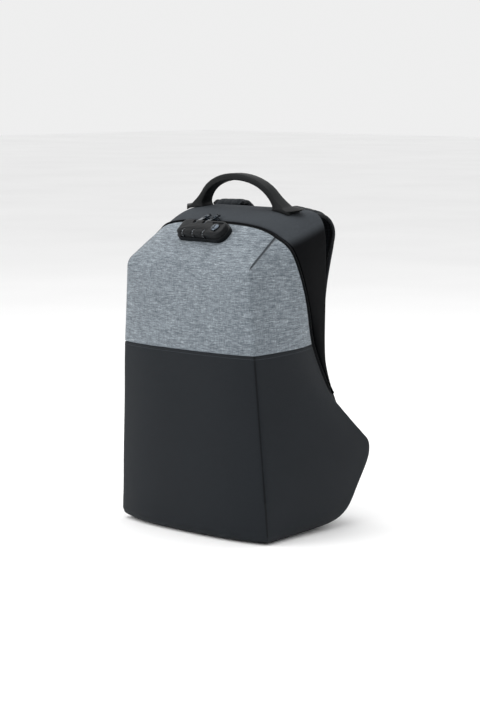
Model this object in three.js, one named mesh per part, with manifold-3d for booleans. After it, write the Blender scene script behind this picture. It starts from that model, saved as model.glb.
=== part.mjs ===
// Hard-shell backpack with a hidden main zip, a sloped roof and a three-dial lock.
// Millimetres, +Z up, the front looks along -Y, the wearer's back is on the +Y side.
// Every soft wall is a curved sheet of real thickness, lofted from a few named sizes
// and short tables of shares, so the body is open inside as the real bag is.

import * as THREE from 'three';
import { mergeVertices } from 'three/addons/utils/BufferGeometryUtils.js';
import Module from 'manifold-3d';

const wasm = await Module();
wasm.setup();

// Clearance between neighbouring pieces
const GAP = 0.3;

// Body heights
const BODY_HEIGHT = 455;
const SEAM_HEIGHT = 262;
const SEAM_RISE = 6;
const FOLD_HEIGHT = 380;
const FOLD_CROWN = 4;
const DART_TOP_HEIGHT = 422;
const ZIP_TOP_HEIGHT = 438.5;
const ZIP_FOOT_HEIGHT = 195;
const SHOULDER_HEIGHT = 396;

// Body half widths
const BASE_HALF_WIDTH = 147;
const SEAM_HALF_WIDTH = 129.5;
const FOLD_HALF_WIDTH = 120.5;
const BACK_HALF_WIDTH = 127;
const ZIP_FLARE = 13;
const ZIP_HALF_WIDTH = BACK_HALF_WIDTH + ZIP_FLARE;

// Body depths, measured from the front crease at the seam
const BACK_DEPTH = 148;
const WING_REACH = 80.5;
const WING_DEPTH = BACK_DEPTH + WING_REACH;
const CREASE_SETBACK = 9.5;
const BASE_FRONT = -10;
const SEAM_FRONT = -13;
const FOLD_FRONT = -10;
const FOLD_CORNER_DEPTH = -2;
const BASE_FILLET = 14;
const WING_FILLET = 26;

// Walls
const SHELL_WALL = 4;
const FLOOR_WALL = 4;
const GUSSET_WALL = 3.5;
const PANEL_WALL = 11;
const PANEL_EDGE = 5;
const PANEL_CROWN = 3;

// Zip: its middle line lies in one leaning plane
const ZIP_SEAM_DEPTH = 125;
const ZIP_SEAM_HEIGHT = SEAM_HEIGHT + SEAM_RISE;
const ZIP_LEAN = 0.414;
const ZIP_BAND = 7;
const ZIP_TAPE = 1.6;
const ZIP_RECESS = 1.4;
const ZIP_COIL_WIDTH = 3;
const ZIP_COIL_HEIGHT = 1.1;

// Top handle
const HANDLE_HALF_SPAN = 75;
const HANDLE_RISE = 44;
const HANDLE_LEAN = 8;
const HANDLE_THICKNESS = 10;
const HANDLE_WIDTH = 20;
const HANDLE_FOOT_LENGTH = 31;
const HANDLE_FOOT_WIDTH = 27;
const HANDLE_FOOT_THICKNESS = 4;
const HANDLE_DEPTH = 110;

// Shoulder straps
const STRAP_WIDTH = 56;
const STRAP_THICKNESS = 14;
const STRAP_ROOT_THICKNESS = 5;
const STRAP_TOP_CENTRE = 72;
const STRAP_FOOT_CENTRE = 82;
const WEBBING_WIDTH = 25;
const WEBBING_THICKNESS = 1.8;
const ADJUSTER_WIDTH = 36;
const ADJUSTER_LENGTH = 22;
const ADJUSTER_THICKNESS = 5;

// Lock on the roof
const LOCK_LENGTH = 91;
const LOCK_WIDTH = 32;
const LOCK_PLINTH = 6;
const LOCK_HEIGHT = 14;
const LOCK_STEP = 2;
const LOCK_BEVEL = 3;
const LOCK_CENTRE_X = 4;
const LOCK_REAR_MARGIN = 8.5;
const DIAL_COUNT = 3;
const DIAL_PITCH = 20;
const DIAL_RADIUS = 6;
const DIAL_WIDTH = 6.5;
const DIAL_PROUD = 0.4;
const CYLINDER_RADIUS = 6.5;
const CYLINDER_PROUD = 2.2;
const CYLINDER_DEPTH = 6;
const PULL_WIDTH = 6;
const PULL_THICKNESS = 2.4;
const PULL_SPACING = 18;

// Half outline of the zip line: height as a share from its foot to its top,
// half width as a share of the zip's widest half width
const ZIP_LINE = [
  { height: 0.0, width: 0.96 },
  { height: 0.05, width: 0.935 },
  { height: 0.185, width: 0.9 },
  { height: 0.3, width: 0.893 },
  { height: 0.385, width: 0.918 },
  { height: 0.5, width: 0.963 },
  { height: 0.612, width: 0.989 },
  { height: 0.731, width: 1.0 },
  { height: 0.842, width: 0.979 },
  { height: 0.891, width: 0.927 },
  { height: 0.919, width: 0.849 },
  { height: 0.963, width: 0.716 },
  { height: 0.99, width: 0.476 },
  { height: 0.998, width: 0.2 },
  { height: 1.0, width: 0.0 },
];

// Rear edge of the side below the zip: height as a share of the zip foot's height,
// width as a share of the base half width, depth as a share of the wing's depth
const WING_LINE = [
  { height: 0.0, width: 0.9, depth: 0.63 },
  { height: 0.05, width: 0.91, depth: 0.735 },
  { height: 0.115, width: 0.922, depth: 0.808 },
  { height: 0.175, width: 0.932, depth: 0.845 },
  { height: 0.323, width: 0.952, depth: 0.909 },
  { height: 0.487, width: 0.973, depth: 0.981 },
  { height: 0.56, width: 0.976, depth: 1.0 },
  { height: 0.62, width: 0.976, depth: 0.981 },
  { height: 0.754, width: 0.966, depth: 0.861 },
  { height: 0.897, width: 0.949, depth: 0.733 },
  { height: 0.964, width: 0.932, depth: 0.684 },
];

// Half outline of the rear rim above the wing: height as a share from the zip foot to
// the body's top, width as a share of the back's half width, and how far the rim lies
// behind the back plane as a share of the back's depth
const RIM_LINE = [
  { height: 0.0, width: 1.04, behind: 0.078 },
  { height: 0.045, width: 1.02, behind: 0.056 },
  { height: 0.105, width: 1.0, behind: 0.03 },
  { height: 0.2, width: 0.985, behind: 0.008 },
  { height: 0.4, width: 0.99, behind: 0.0 },
  { height: 0.6, width: 1.0, behind: 0.0 },
  { height: 0.78, width: 1.0, behind: 0.0 },
  { height: 0.87, width: 0.99, behind: 0.0 },
  { height: 0.938, width: 0.95, behind: 0.0 },
  { height: 0.988, width: 0.84, behind: 0.0 },
  { height: 0.999, width: 0.5, behind: 0.0 },
  { height: 1.0, width: 0.0, behind: 0.0 },
];

// Middle line of a shoulder strap: depth behind the back plane as a share of the
// arch's reach, height as a share of the body's height, and how much of a strap's own
// lift reaches that place
const STRAP_FOOT_CLEAR = 15.75;
const STRAP_LINE = [
  { reach: 0.0, height: 0.988, fullness: 0.0, lift: 0.0 },
  { reach: 0.2, height: 0.99, fullness: 0.45, lift: 1.0 },
  { reach: 0.48, height: 0.983, fullness: 0.85, lift: 1.0 },
  { reach: 0.74, height: 0.962, fullness: 1.0, lift: 0.8 },
  { reach: 0.84, height: 0.925, fullness: 1.0, lift: 0.6 },
  { reach: 0.68, height: 0.865, fullness: 1.0, lift: 0.3 },
  { reach: 0.42, height: 0.76, fullness: 1.0, lift: 0.0 },
  { reach: 0.3, height: 0.66, fullness: 1.0, lift: 0.0 },
  { reach: 0.27, height: 0.59, fullness: 1.0, lift: 0.0 },
  { reach: 0.36, height: 0.52, fullness: 1.0, lift: 0.0 },
  { reach: 0.58, height: 0.45, fullness: 0.95, lift: 0.0 },
  { reach: 0.82, height: 0.395, fullness: 0.85, lift: 0.0 },
  { reach: 0.98, height: 0.365, fullness: 0.6, lift: 0.0 },
];

// Half outline of the handle's middle line, as shares of its half span and rise
const HANDLE_LINE = [
  { span: 1.0, rise: 0.0, flare: 1.0 },
  { span: 0.985, rise: 0.15, flare: 0.5 },
  { span: 0.95, rise: 0.3, flare: 0.15 },
  { span: 0.885, rise: 0.46, flare: 0.0 },
  { span: 0.78, rise: 0.63, flare: 0.0 },
  { span: 0.61, rise: 0.8, flare: 0.0 },
  { span: 0.4, rise: 0.92, flare: 0.0 },
  { span: 0.2, rise: 0.98, flare: 0.0 },
  { span: 0.0, rise: 1.0, flare: 0.0 },
];

// Plain helpers
const SEARCH_STEPS = 40;
const lerp = (from, to, share) => from + (to - from) * share;
const vec = (x, y, z) => new THREE.Vector3(x, y, z);
const mix = (a, b, share) => a.clone().lerp(b, share);
const range = (count) => Array.from({ length: count + 1 }, (unused, index) => index / count);

// Smooth value of one column of a table at a place along its first column
function tableValue(table, key, column, at) {
  const last = table.length - 1;
  const place = Math.min(Math.max(at, table[0][key]), table[last][key]);
  let row = 0;
  while (row < last - 1 && table[row + 1][key] < place) row += 1;
  const slope = (i) => {
    const low = table[Math.max(i - 1, 0)];
    const high = table[Math.min(i + 1, last)];
    return (high[column] - low[column]) / (high[key] - low[key]);
  };
  const a = table[row];
  const b = table[row + 1];
  const span = b[key] - a[key];
  const t = (place - a[key]) / span;
  const t2 = t * t;
  const t3 = t2 * t;
  return (2 * t3 - 3 * t2 + 1) * a[column] + (t3 - 2 * t2 + t) * span * slope(row)
    + (3 * t2 - 2 * t3) * b[column] + (t3 - t2) * span * slope(row + 1);
}

// Geometry from a list of points and a list of triangles
function geometryFrom(points, triangles) {
  const geometry = new THREE.BufferGeometry();
  const flat = points.flatMap((point) => [point.x, point.y, point.z]);
  geometry.setAttribute('position', new THREE.Float32BufferAttribute(flat, 3));
  geometry.setIndex(triangles);
  return geometry;
}

// Outward normals of a grid of points, rows up and columns to the right
function gridNormals(grid) {
  const rows = grid.length;
  const columns = grid[0].length;
  return grid.map((line, r) => line.map((point, c) => {
    const left = grid[r][Math.max(c - 1, 0)];
    const right = grid[r][Math.min(c + 1, columns - 1)];
    const low = grid[Math.max(r - 1, 0)][c];
    const high = grid[Math.min(r + 1, rows - 1)][c];
    const across = right.clone().sub(left);
    const along = high.clone().sub(low);
    return across.cross(along).normalize();
  }));
}

// A curved sheet with a real wall: the grid is its outer face. The wall may change from
// point to point, and a border rule can turn a normal so that edges meet squarely.
function sheet(grid, wall, options = {}) {
  const proud = options.proud ?? 0;
  const rows = grid.length;
  const columns = grid[0].length;
  const normals = gridNormals(grid);
  if (options.border) {
    normals.forEach((line, r) => line.forEach((normal, c) => options.border(normal, r, c, normals)));
  }
  const wallAt = typeof wall === 'function' ? wall : () => wall;
  const outer = grid.flatMap((line, r) => line.map((point, c) => (
    point.clone().addScaledVector(normals[r][c], proud))));
  const inner = grid.flatMap((line, r) => line.map((point, c) => (
    point.clone().addScaledVector(normals[r][c], -wallAt(r, c)))));
  const shift = outer.length;
  const id = (r, c) => r * columns + c;
  const triangles = [];
  const quad = (a, b, c, d) => triangles.push(a, b, c, a, c, d);
  for (let r = 0; r < rows - 1; r += 1) {
    for (let c = 0; c < columns - 1; c += 1) {
      const a = id(r, c);
      const b = id(r, c + 1);
      const e = id(r + 1, c + 1);
      const d = id(r + 1, c);
      quad(a, b, e, d);
      quad(a + shift, d + shift, e + shift, b + shift);
    }
  }
  for (let c = 0; c < columns - 1; c += 1) {
    const low = id(0, c);
    const high = id(rows - 1, c);
    quad(low + 1, low, low + shift, low + 1 + shift);
    quad(high, high + 1, high + 1 + shift, high + shift);
  }
  for (let r = 0; r < rows - 1; r += 1) {
    const left = id(r, 0);
    const right = id(r, columns - 1);
    quad(left, left + columns, left + columns + shift, left + shift);
    quad(right + columns, right, right + shift, right + columns + shift);
  }
  return geometryFrom([...outer, ...inner], triangles);
}

// Volume inside a closed geometry, negative when its faces point inwards
function signedVolume(points, triangles) {
  let volume = 0;
  for (let i = 0; i < triangles.length; i += 3) {
    const [a, b, c] = [points[triangles[i]], points[triangles[i + 1]], points[triangles[i + 2]]];
    volume += a.dot(b.clone().cross(c)) / 6;
  }
  return volume;
}

// A closed body through rings of points, with flat ends
function loft(rings) {
  const count = rings[0].length;
  const points = rings.flat();
  const triangles = [];
  for (let r = 0; r < rings.length - 1; r += 1) {
    for (let k = 0; k < count; k += 1) {
      const next = (k + 1) % count;
      const a = r * count + k;
      const b = r * count + next;
      triangles.push(a, b, b + count, a, b + count, a + count);
    }
  }
  const cap = (ring, start, flip) => {
    const middle = ring.reduce((sum, point) => sum.add(point), vec(0, 0, 0)).divideScalar(count);
    const hub = points.push(middle) - 1;
    for (let k = 0; k < count; k += 1) {
      const next = (k + 1) % count;
      triangles.push(...(flip ? [hub, start + next, start + k] : [hub, start + k, start + next]));
    }
  };
  cap(rings[0], 0, true);
  cap(rings[rings.length - 1], (rings.length - 1) * count, false);
  if (signedVolume(points, triangles) < 0) triangles.reverse();
  return geometryFrom(points, triangles);
}

// Rounded-rectangle section in plane coordinates, counter-clockwise
function section(width, height, corner, steps = 2) {
  const radius = Math.min(corner, width / 2 - 0.01, height / 2 - 0.01);
  const points = [];
  [[1, 1, 0], [-1, 1, 1], [-1, -1, 2], [1, -1, 3]].forEach(([sx, sy, quarter]) => {
    range(steps).forEach((share) => {
      const angle = (quarter + share) * Math.PI / 2;
      points.push([
        sx * (width / 2 - radius) + radius * Math.cos(angle),
        sy * (height / 2 - radius) + radius * Math.sin(angle),
      ]);
    });
  });
  return points;
}

// Solids for the boolean cuts and joins
function solidOf(geometry) {
  const bare = geometry.clone();
  bare.deleteAttribute('normal');
  bare.deleteAttribute('uv');
  const merged = mergeVertices(bare, 1e-4);
  const vertProperties = new Float32Array(merged.attributes.position.array);
  const triVerts = new Uint32Array(merged.index.array);
  return new wasm.Manifold(new wasm.Mesh({ numProp: 3, vertProperties, triVerts }));
}

function geometryOf(solid) {
  const mesh = solid.getMesh();
  const geometry = new THREE.BufferGeometry();
  geometry.setAttribute('position', new THREE.BufferAttribute(mesh.vertProperties, 3));
  geometry.setIndex(new THREE.BufferAttribute(mesh.triVerts, 1));
  return geometry;
}

// Body surface: lines that the sheets share
const zipPlaneNormal = vec(0, 1, ZIP_LEAN).normalize();
const zipDepthAt = (height) => ZIP_SEAM_DEPTH - ZIP_LEAN * (height - ZIP_SEAM_HEIGHT);

function zipHeight(share) {
  return lerp(ZIP_FOOT_HEIGHT, ZIP_TOP_HEIGHT, share);
}

function mirrored(points) {
  return points.map((point) => vec(-point.x, point.y, point.z));
}

// A curve from the left foot over the top to the right foot, given its right half from
// the foot up to the top
function overTheTop(half) {
  return new THREE.CatmullRomCurve3([...mirrored(half), ...half.slice(0, -1).reverse()]);
}

// The zip's middle line
const zipRight = ZIP_LINE.map(({ height, width }) => {
  const z = zipHeight(height);
  return vec(ZIP_HALF_WIDTH * width, zipDepthAt(z), z);
});
const zipCurve = overTheTop(zipRight);

// The rear rim line
const rimRight = RIM_LINE.map(({ height, width, behind }) => vec(
  BACK_HALF_WIDTH * width,
  BACK_DEPTH * (1 + behind),
  lerp(ZIP_FOOT_HEIGHT, BODY_HEIGHT, height),
));
const rimCurve = overTheTop(rimRight);

// Share along the right half of a line over the top, where it comes down to a height
function shareAtHeight(curve, height) {
  let low = 0.5;
  let high = 1;
  for (let step = 0; step < SEARCH_STEPS; step += 1) {
    const middle = (low + high) / 2;
    if (curve.getPoint(middle).z > height) low = middle;
    else high = middle;
  }
  return (low + high) / 2;
}

const frontZipOffset = -(ZIP_BAND / 2 + GAP);
const rearZipOffset = ZIP_BAND / 2 + GAP;
const zipPoint = (share, offset) => zipCurve.getPoint(share).addScaledVector(zipPlaneNormal, offset);

// How far a fillet at the base pulls the wall in at a height
function filletInset(radius, height) {
  if (height >= radius) return 0;
  return radius - Math.sqrt(radius ** 2 - (radius - height) ** 2);
}

// Front crease and front middle line below the seam
function lowerCrease(height) {
  const share = height / SEAM_HEIGHT;
  const inset = filletInset(BASE_FILLET, height);
  return vec(
    lerp(BASE_HALF_WIDTH, SEAM_HALF_WIDTH, share) - inset,
    lerp(CREASE_SETBACK, 0, share) + inset,
    height,
  );
}

function lowerFront(height) {
  const depth = lerp(BASE_FRONT, SEAM_FRONT, height / SEAM_HEIGHT);
  return vec(0, depth + filletInset(BASE_FILLET, height), height);
}

// Rear edge of the right side: the wing up to its neck, then the front edge of the zip
const wingTop = ZIP_FOOT_HEIGHT * WING_LINE[WING_LINE.length - 1].height;

function wingEdge(height) {
  const share = height / ZIP_FOOT_HEIGHT;
  return vec(
    BASE_HALF_WIDTH * tableValue(WING_LINE, 'height', 'width', share) - filletInset(WING_FILLET, height),
    WING_DEPTH * tableValue(WING_LINE, 'height', 'depth', share),
    height,
  );
}

function zipEdge(height) {
  const point = zipCurve.getPoint(shareAtHeight(zipCurve, height));
  return vec(point.x, point.y + frontZipOffset / zipPlaneNormal.y, height);
}

function rearEdge(height) {
  if (height <= wingTop) return wingEdge(height);
  if (height >= ZIP_FOOT_HEIGHT) return zipEdge(height);
  const share = (height - wingTop) / (ZIP_FOOT_HEIGHT - wingTop);
  return mix(wingEdge(wingTop), zipEdge(ZIP_FOOT_HEIGHT), share);
}

// Heights that walk up a line in steps of even length
function evenHeights(low, high, count, pointAt) {
  const samples = range(count * 12).map((share) => lerp(low, high, share));
  const walked = [0];
  samples.slice(1).forEach((height, i) => {
    walked.push(walked[i] + pointAt(height).distanceTo(pointAt(samples[i])));
  });
  const total = walked[walked.length - 1];
  return range(count).map((share) => samples[walked.findIndex((length) => (
    length >= total * share - 1e-6))]);
}

// Rows of the wrap: left side, front, right side
const SIDE_STEPS = 7;
const FRONT_STEPS = 12;
const SIDE_SWELL = 0.16;
const BASE_SWELL = 0.02;
const FRONT_POWER = 3.2;
const sideSwell = (w) => w * (1 - w ** 3);

function sideRow(crease, rear, swell, lift) {
  const chord = rear.clone().sub(crease).length();
  const out = vec(1, 0, lift).normalize();
  return range(SIDE_STEPS).map((w) => (
    mix(crease, rear, w).addScaledVector(out, swell * chord * sideSwell(w))));
}

function wholeRow(front, side) {
  return [...mirrored(side.slice(1)).reverse(), ...front, ...side.slice(1)];
}

function frontRow(middle, crease) {
  return range(FRONT_STEPS).map((share) => {
    const s = 2 * share - 1;
    const power = Math.abs(s) ** FRONT_POWER;
    return vec(s * crease.x, lerp(middle.y, crease.y, power), lerp(middle.z, crease.z, power));
  });
}

// Lower shell: front, sides and wings as one wrap from the floor to the seam
const FILLET_ROWS = 3;
const WING_ROWS = 12;
const WAIST_ROWS = 5;

function lowerRow(height, drop) {
  const share = height / SEAM_HEIGHT;
  const crease = lowerCrease(height);
  const rear = rearEdge(height + SEAM_RISE * share ** 2);
  const middle = lowerFront(height);
  [crease, rear, middle].forEach((point) => { point.z -= drop; });
  const swell = lerp(BASE_SWELL, SIDE_SWELL, share ** 2);
  return wholeRow(frontRow(middle, crease), sideRow(crease, rear, swell, 0));
}

const lowerHeights = [
  ...range(FILLET_ROWS).map((share) => BASE_FILLET * (1 - Math.cos(share * Math.PI / 2))),
  ...evenHeights(BASE_FILLET, wingTop, WING_ROWS, wingEdge).slice(1),
  ...range(WAIST_ROWS).slice(1).map((share) => lerp(wingTop, SEAM_HEIGHT, share)),
];
const lowerLast = lowerHeights.length - 1;
const lowerGrid = lowerHeights.map((height, r) => lowerRow(height, r === lowerLast ? GAP / 2 : 0));

// Turn a normal into the level plane, or into the zip's plane, so that edges meet squarely
function levelled(normal) {
  normal.z = 0;
  normal.normalize();
}

function alongZipPlane(normal) {
  normal.addScaledVector(zipPlaneNormal, -normal.dot(zipPlaneNormal)).normalize();
}

function lowerBorder(normal, r, c) {
  if (r === 0) normal.set(0, 0, -1);
  if (r === lowerLast) levelled(normal);
  const atRear = c === 0 || c === lowerGrid[0].length - 1;
  if (atRear && lowerHeights[r] > ZIP_FOOT_HEIGHT) alongZipPlane(normal);
}

// Floor: a flat plate inside the lower shell's turned-in edge
function floorPlate() {
  const rim = lowerGrid[0];
  const middle = vec(0, WING_DEPTH * WING_LINE[0].depth / 2, 0);
  const reach = 1 - 2 * GAP / middle.y;
  const outline = rim.map((point) => new THREE.Vector2(
    lerp(middle.x, point.x, reach),
    lerp(middle.y, point.y, reach),
  ));
  return new THREE.ExtrudeGeometry(new THREE.Shape(outline), { depth: FLOOR_WALL, bevelEnabled: false });
}

// Upper shell: front, roof and cheeks as one wrap from the seam to the zip
const UPPER_FRONT_ROWS = 4;
const FOLD_ROWS = 4;
const ROOF_ROWS = 5;
const FOLD_SOFT = 36;
const FOLD_CORNER = 9;
const ROOF_SWELL = 0.02;
const ZIP_HUG = 3;
const dartShare = shareAtHeight(zipCurve, DART_TOP_HEIGHT);
const shoulderShare = shareAtHeight(zipCurve, SHOULDER_HEIGHT);
const seamShare = shareAtHeight(zipCurve, ZIP_SEAM_HEIGHT);

// Column of the front and roof at a share across, bent over the fold with a soft radius
function frontColumn(s) {
  const power = Math.abs(s) ** FRONT_POWER;
  const low = vec(s * SEAM_HALF_WIDTH, lerp(SEAM_FRONT, 0, power), SEAM_HEIGHT + GAP / 2);
  const fold = vec(
    s * FOLD_HALF_WIDTH,
    lerp(FOLD_FRONT, FOLD_CORNER_DEPTH, power),
    FOLD_HEIGHT + FOLD_CROWN * (1 - s * s),
  );
  const top = zipPoint(lerp(0.5, dartShare, Math.abs(s)), frontZipOffset);
  top.x *= Math.sign(s) || 1;
  const soft = lerp(FOLD_SOFT, FOLD_CORNER, s ** 4);
  const bendStart = fold.clone().sub(fold.clone().sub(low).setLength(soft));
  const bendEnd = fold.clone().add(top.clone().sub(fold).setLength(soft));
  const out = vec(0, -1, 1).normalize();
  const front = range(UPPER_FRONT_ROWS).slice(0, -1).map((t) => mix(low, bendStart, t));
  const bend = range(FOLD_ROWS).map((t) => mix(mix(bendStart, fold, t), mix(fold, bendEnd, t), t));
  const swell = ROOF_SWELL * top.distanceTo(bendEnd) * 4 * (1 - power);
  const roof = range(ROOF_ROWS).slice(1).map((t) => (
    mix(bendEnd, top, t).addScaledVector(out, swell * t * (1 - t))));
  return [...front, ...bend, ...roof];
}

function upperRows() {
  const columns = range(FRONT_STEPS).map((share) => frontColumn(2 * share - 1));
  const crease = columns[FRONT_STEPS];
  const steps = crease.map((point, i) => (i === 0 ? 0 : point.distanceTo(crease[i - 1])));
  const total = steps.reduce((sum, step) => sum + step, 0);
  const lastRear = zipPoint(shoulderShare, frontZipOffset);
  const lastSide = sideRow(crease[crease.length - 1], lastRear, SIDE_SWELL, 1);
  const hug = range(SIDE_STEPS).map((w, i) => (
    zipPoint(lerp(dartShare, shoulderShare, w), frontZipOffset).sub(lastSide[i])));
  let walked = 0;
  return crease.map((corner, r) => {
    walked += steps[r];
    const share = walked / total;
    const rear = zipPoint(lerp(seamShare, shoulderShare, share), frontZipOffset);
    if (r === 0) rear.copy(rearEdge(ZIP_SEAM_HEIGHT)).add(vec(0, 0, GAP / 2));
    const side = sideRow(corner, rear, SIDE_SWELL, share);
    side.forEach((point, i) => point.addScaledVector(hug[i], share ** ZIP_HUG));
    return wholeRow(columns.map((column) => column[r]), side);
  });
}

const upperGrid = upperRows();

function upperBorder(normal, r, c, normals) {
  const atTop = r === upperGrid.length - 1;
  const atLeft = c === 0;
  const atRight = c === upperGrid[0].length - 1;
  if (atTop && (atLeft || atRight)) normal.copy(normals[r - 1][atLeft ? 1 : c - 1]);
  if (r === 0) levelled(normal);
  if (atTop || atLeft || atRight) alongZipPlane(normal);
}

// Rear gusset and top panel: one band from the zip to the rear rim
const GUSSET_STEPS = 44;
const GUSSET_ROWS = 5;
const GUSSET_SIDE_SWELL = 0.025;
const GUSSET_FOOT_STEPS = 4;
const GUSSET_TOP_SWELL = 0.1;

function gussetRows() {
  const rows = range(GUSSET_ROWS).map(() => []);
  range(GUSSET_STEPS).forEach((u) => {
    const front = zipPoint(u, rearZipOffset);
    const rear = rimCurve.getPoint(u);
    const across = rear.clone().sub(front);
    const out = zipCurve.getTangent(u).cross(across).normalize();
    const fullness = lerp(GUSSET_SIDE_SWELL, GUSSET_TOP_SWELL, Math.max(out.z, 0) ** 3);
    range(GUSSET_ROWS).forEach((v, r) => {
      const swell = fullness * across.length() * Math.sin(Math.PI * v ** 0.8);
      rows[r].push(mix(front, rear, v).addScaledVector(out, swell));
    });
  });
  return rows;
}

const gussetGrid = gussetRows();

function gussetBorder(normal, r, c) {
  const nearFoot = Math.min(c, GUSSET_STEPS - c) < GUSSET_FOOT_STEPS;
  if (r === GUSSET_ROWS) {
    normal.y = 0;
    normal.normalize();
  } else if (r === 0 || nearFoot) alongZipPlane(normal);
}

// Zip tape with its coil ridge, laid in the groove between shell and gusset
const ZIP_STEPS = 46;
const ZIP_END_SHARE = 0.024;
const zipOut = (share) => zipCurve.getTangent(share).cross(zipPlaneNormal).normalize();

// Share along the zip line where it passes a place across the roof
function zipShareAt(x) {
  let low = 0.3;
  let high = 0.7;
  for (let step = 0; step < SEARCH_STEPS; step += 1) {
    const middle = (low + high) / 2;
    if (zipCurve.getPoint(middle).x < x) low = middle;
    else high = middle;
  }
  return (low + high) / 2;
}

function zipChain() {
  const tape = ZIP_BAND / 2 - GAP;
  const coil = ZIP_COIL_WIDTH / 2;
  const ridge = coil * 0.6;
  const profile = [
    [-tape, 0], [-coil, 0], [-ridge, ZIP_COIL_HEIGHT], [ridge, ZIP_COIL_HEIGHT],
    [coil, 0], [tape, 0], [tape, -ZIP_TAPE], [-tape, -ZIP_TAPE],
  ];
  return loft(range(ZIP_STEPS).map((step) => {
    const share = lerp(ZIP_END_SHARE, 1 - ZIP_END_SHARE, step);
    return profile.map(([along, height]) => zipPoint(share, along)
      .addScaledVector(zipOut(share), height - ZIP_RECESS));
  }));
}

// Padded back panel: follows the wings and the rear rim, nested inside them
const PANEL_WING_ROWS = 13;
const PANEL_UPPER_ROWS = 11;
const PANEL_STEPS = 12;
const PANEL_FLOOR = 0.6;
const PANEL_RAMP = 45;
const PANEL_NEST = 4 * GAP;

// The rim line moved in by the gusset's wall
const nestRight = range(GUSSET_STEPS / 2).map((share) => {
  const u = lerp(1, 0.5, share);
  const tangent = rimCurve.getTangent(u);
  const inward = vec(tangent.z, 0, -tangent.x).normalize();
  return rimCurve.getPoint(u).addScaledVector(inward, GUSSET_WALL + PANEL_NEST);
});
const nestCurve = overTheTop(nestRight);
const panelTop = nestCurve.getPoint(0.5).z - PANEL_NEST;

function wingNest(height) {
  const edge = wingEdge(Math.max(height - SHELL_WALL - 2 * GAP, 0));
  return vec(edge.x - SHELL_WALL - PANEL_NEST, wingEdge(height).y, height);
}

function panelEdge(height) {
  if (height <= wingTop) return wingNest(height);
  const nested = (z) => {
    const point = nestCurve.getPoint(shareAtHeight(nestCurve, z));
    return vec(point.x, point.y, z);
  };
  if (height >= ZIP_FOOT_HEIGHT) return nested(height);
  const share = (height - wingTop) / (ZIP_FOOT_HEIGHT - wingTop);
  return mix(wingNest(wingTop), nested(ZIP_FOOT_HEIGHT), share);
}

const panelHeights = [
  ...evenHeights(PANEL_FLOOR, wingTop, PANEL_WING_ROWS, wingNest),
  ...range(PANEL_UPPER_ROWS).slice(1).map((share) => lerp(wingTop, panelTop, share ** 0.9)),
];
const flatPanel = panelHeights.map((height) => {
  const edge = panelEdge(height);
  return range(PANEL_STEPS).map((share) => vec(edge.x * (1 - 2 * share), edge.y, height));
});
const panelCross = (c) => 1 - (2 * c / PANEL_STEPS - 1) ** 4;
const panelNormals = gridNormals(flatPanel);
const panelGrid = flatPanel.map((line, r) => line.map((point, c) => {
  const ramp = Math.min(panelHeights[r] / PANEL_RAMP, (panelTop - panelHeights[r]) / PANEL_RAMP, 1);
  return point.clone().addScaledVector(panelNormals[r][c], PANEL_CROWN * panelCross(c) * ramp);
}));

function panelWall(r, c) {
  const nearEnd = Math.min(r, panelHeights.length - 1 - r, 2) / 2;
  return lerp(PANEL_EDGE, PANEL_WALL, panelCross(c) * nearEnd);
}

// Where a line along one axis first meets a sheet's outer face, in that axis
function meet(grid, axis, across, a, b) {
  const places = [];
  for (let r = 0; r < grid.length - 1; r += 1) {
    for (let c = 0; c < grid[0].length - 1; c += 1) {
      const corners = [grid[r][c], grid[r][c + 1], grid[r + 1][c + 1], grid[r + 1][c]];
      [[0, 1, 2], [0, 2, 3]].forEach((picks) => {
        const [p, q, s] = picks.map((index) => corners[index]);
        const flat = (point) => [point[across[0]] - a, point[across[1]] - b];
        const [pa, qa, sa] = [p, q, s].map(flat);
        const cross = (u, v) => u[0] * v[1] - u[1] * v[0];
        const [wp, wq, ws] = [cross(qa, sa), cross(sa, pa), cross(pa, qa)];
        const sum = wp + wq + ws;
        const inside = Math.min(wp / sum, wq / sum, ws / sum) >= -1e-9;
        if (inside) places.push((wp * p[axis] + wq * q[axis] + ws * s[axis]) / sum);
      });
    }
  }
  return Math.max(...places);
}

const roofHeight = (x, y) => meet(upperGrid, 'z', ['x', 'y'], x, y);
const topHeight = (x, y) => meet(gussetGrid, 'z', ['x', 'y'], x, y);
const panelDepth = (x, z) => meet(panelGrid, 'y', ['x', 'z'], x, z);

// Rings of one section carried along a path, its width lying along a given direction
function ringsAlong(points, sectionAt, widthAxis) {
  const curve = new THREE.CatmullRomCurve3(points);
  return points.map((point, i) => {
    const share = i / (points.length - 1);
    const ahead = curve.getTangent(share);
    const side = widthAxis.clone().addScaledVector(ahead, -widthAxis.dot(ahead)).normalize();
    const up = ahead.clone().cross(side).normalize();
    return sectionAt(i, share).map(([a, b]) => (
      point.clone().addScaledVector(side, a).addScaledVector(up, b)));
  });
}

// Shoulder straps
const STRAP_STATIONS = 24;
const STRAP_LIE = { right: { lift: 0, tilt: 0.15 }, left: { lift: 8, tilt: 0.03 } };
const sideName = (side) => (side > 0 ? 'right' : 'left');
const STRAP_CORNER = 6;
const STRAP_ROOT_CLEAR = 3;
const strapRoot = BACK_DEPTH + STRAP_ROOT_CLEAR;
const strapFoot = STRAP_LINE[STRAP_LINE.length - 1];
const strapFootDepth = panelDepth(STRAP_FOOT_CENTRE, BODY_HEIGHT * strapFoot.height) + STRAP_FOOT_CLEAR;
const strapReach = (strapFootDepth - strapRoot) / strapFoot.reach;

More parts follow.
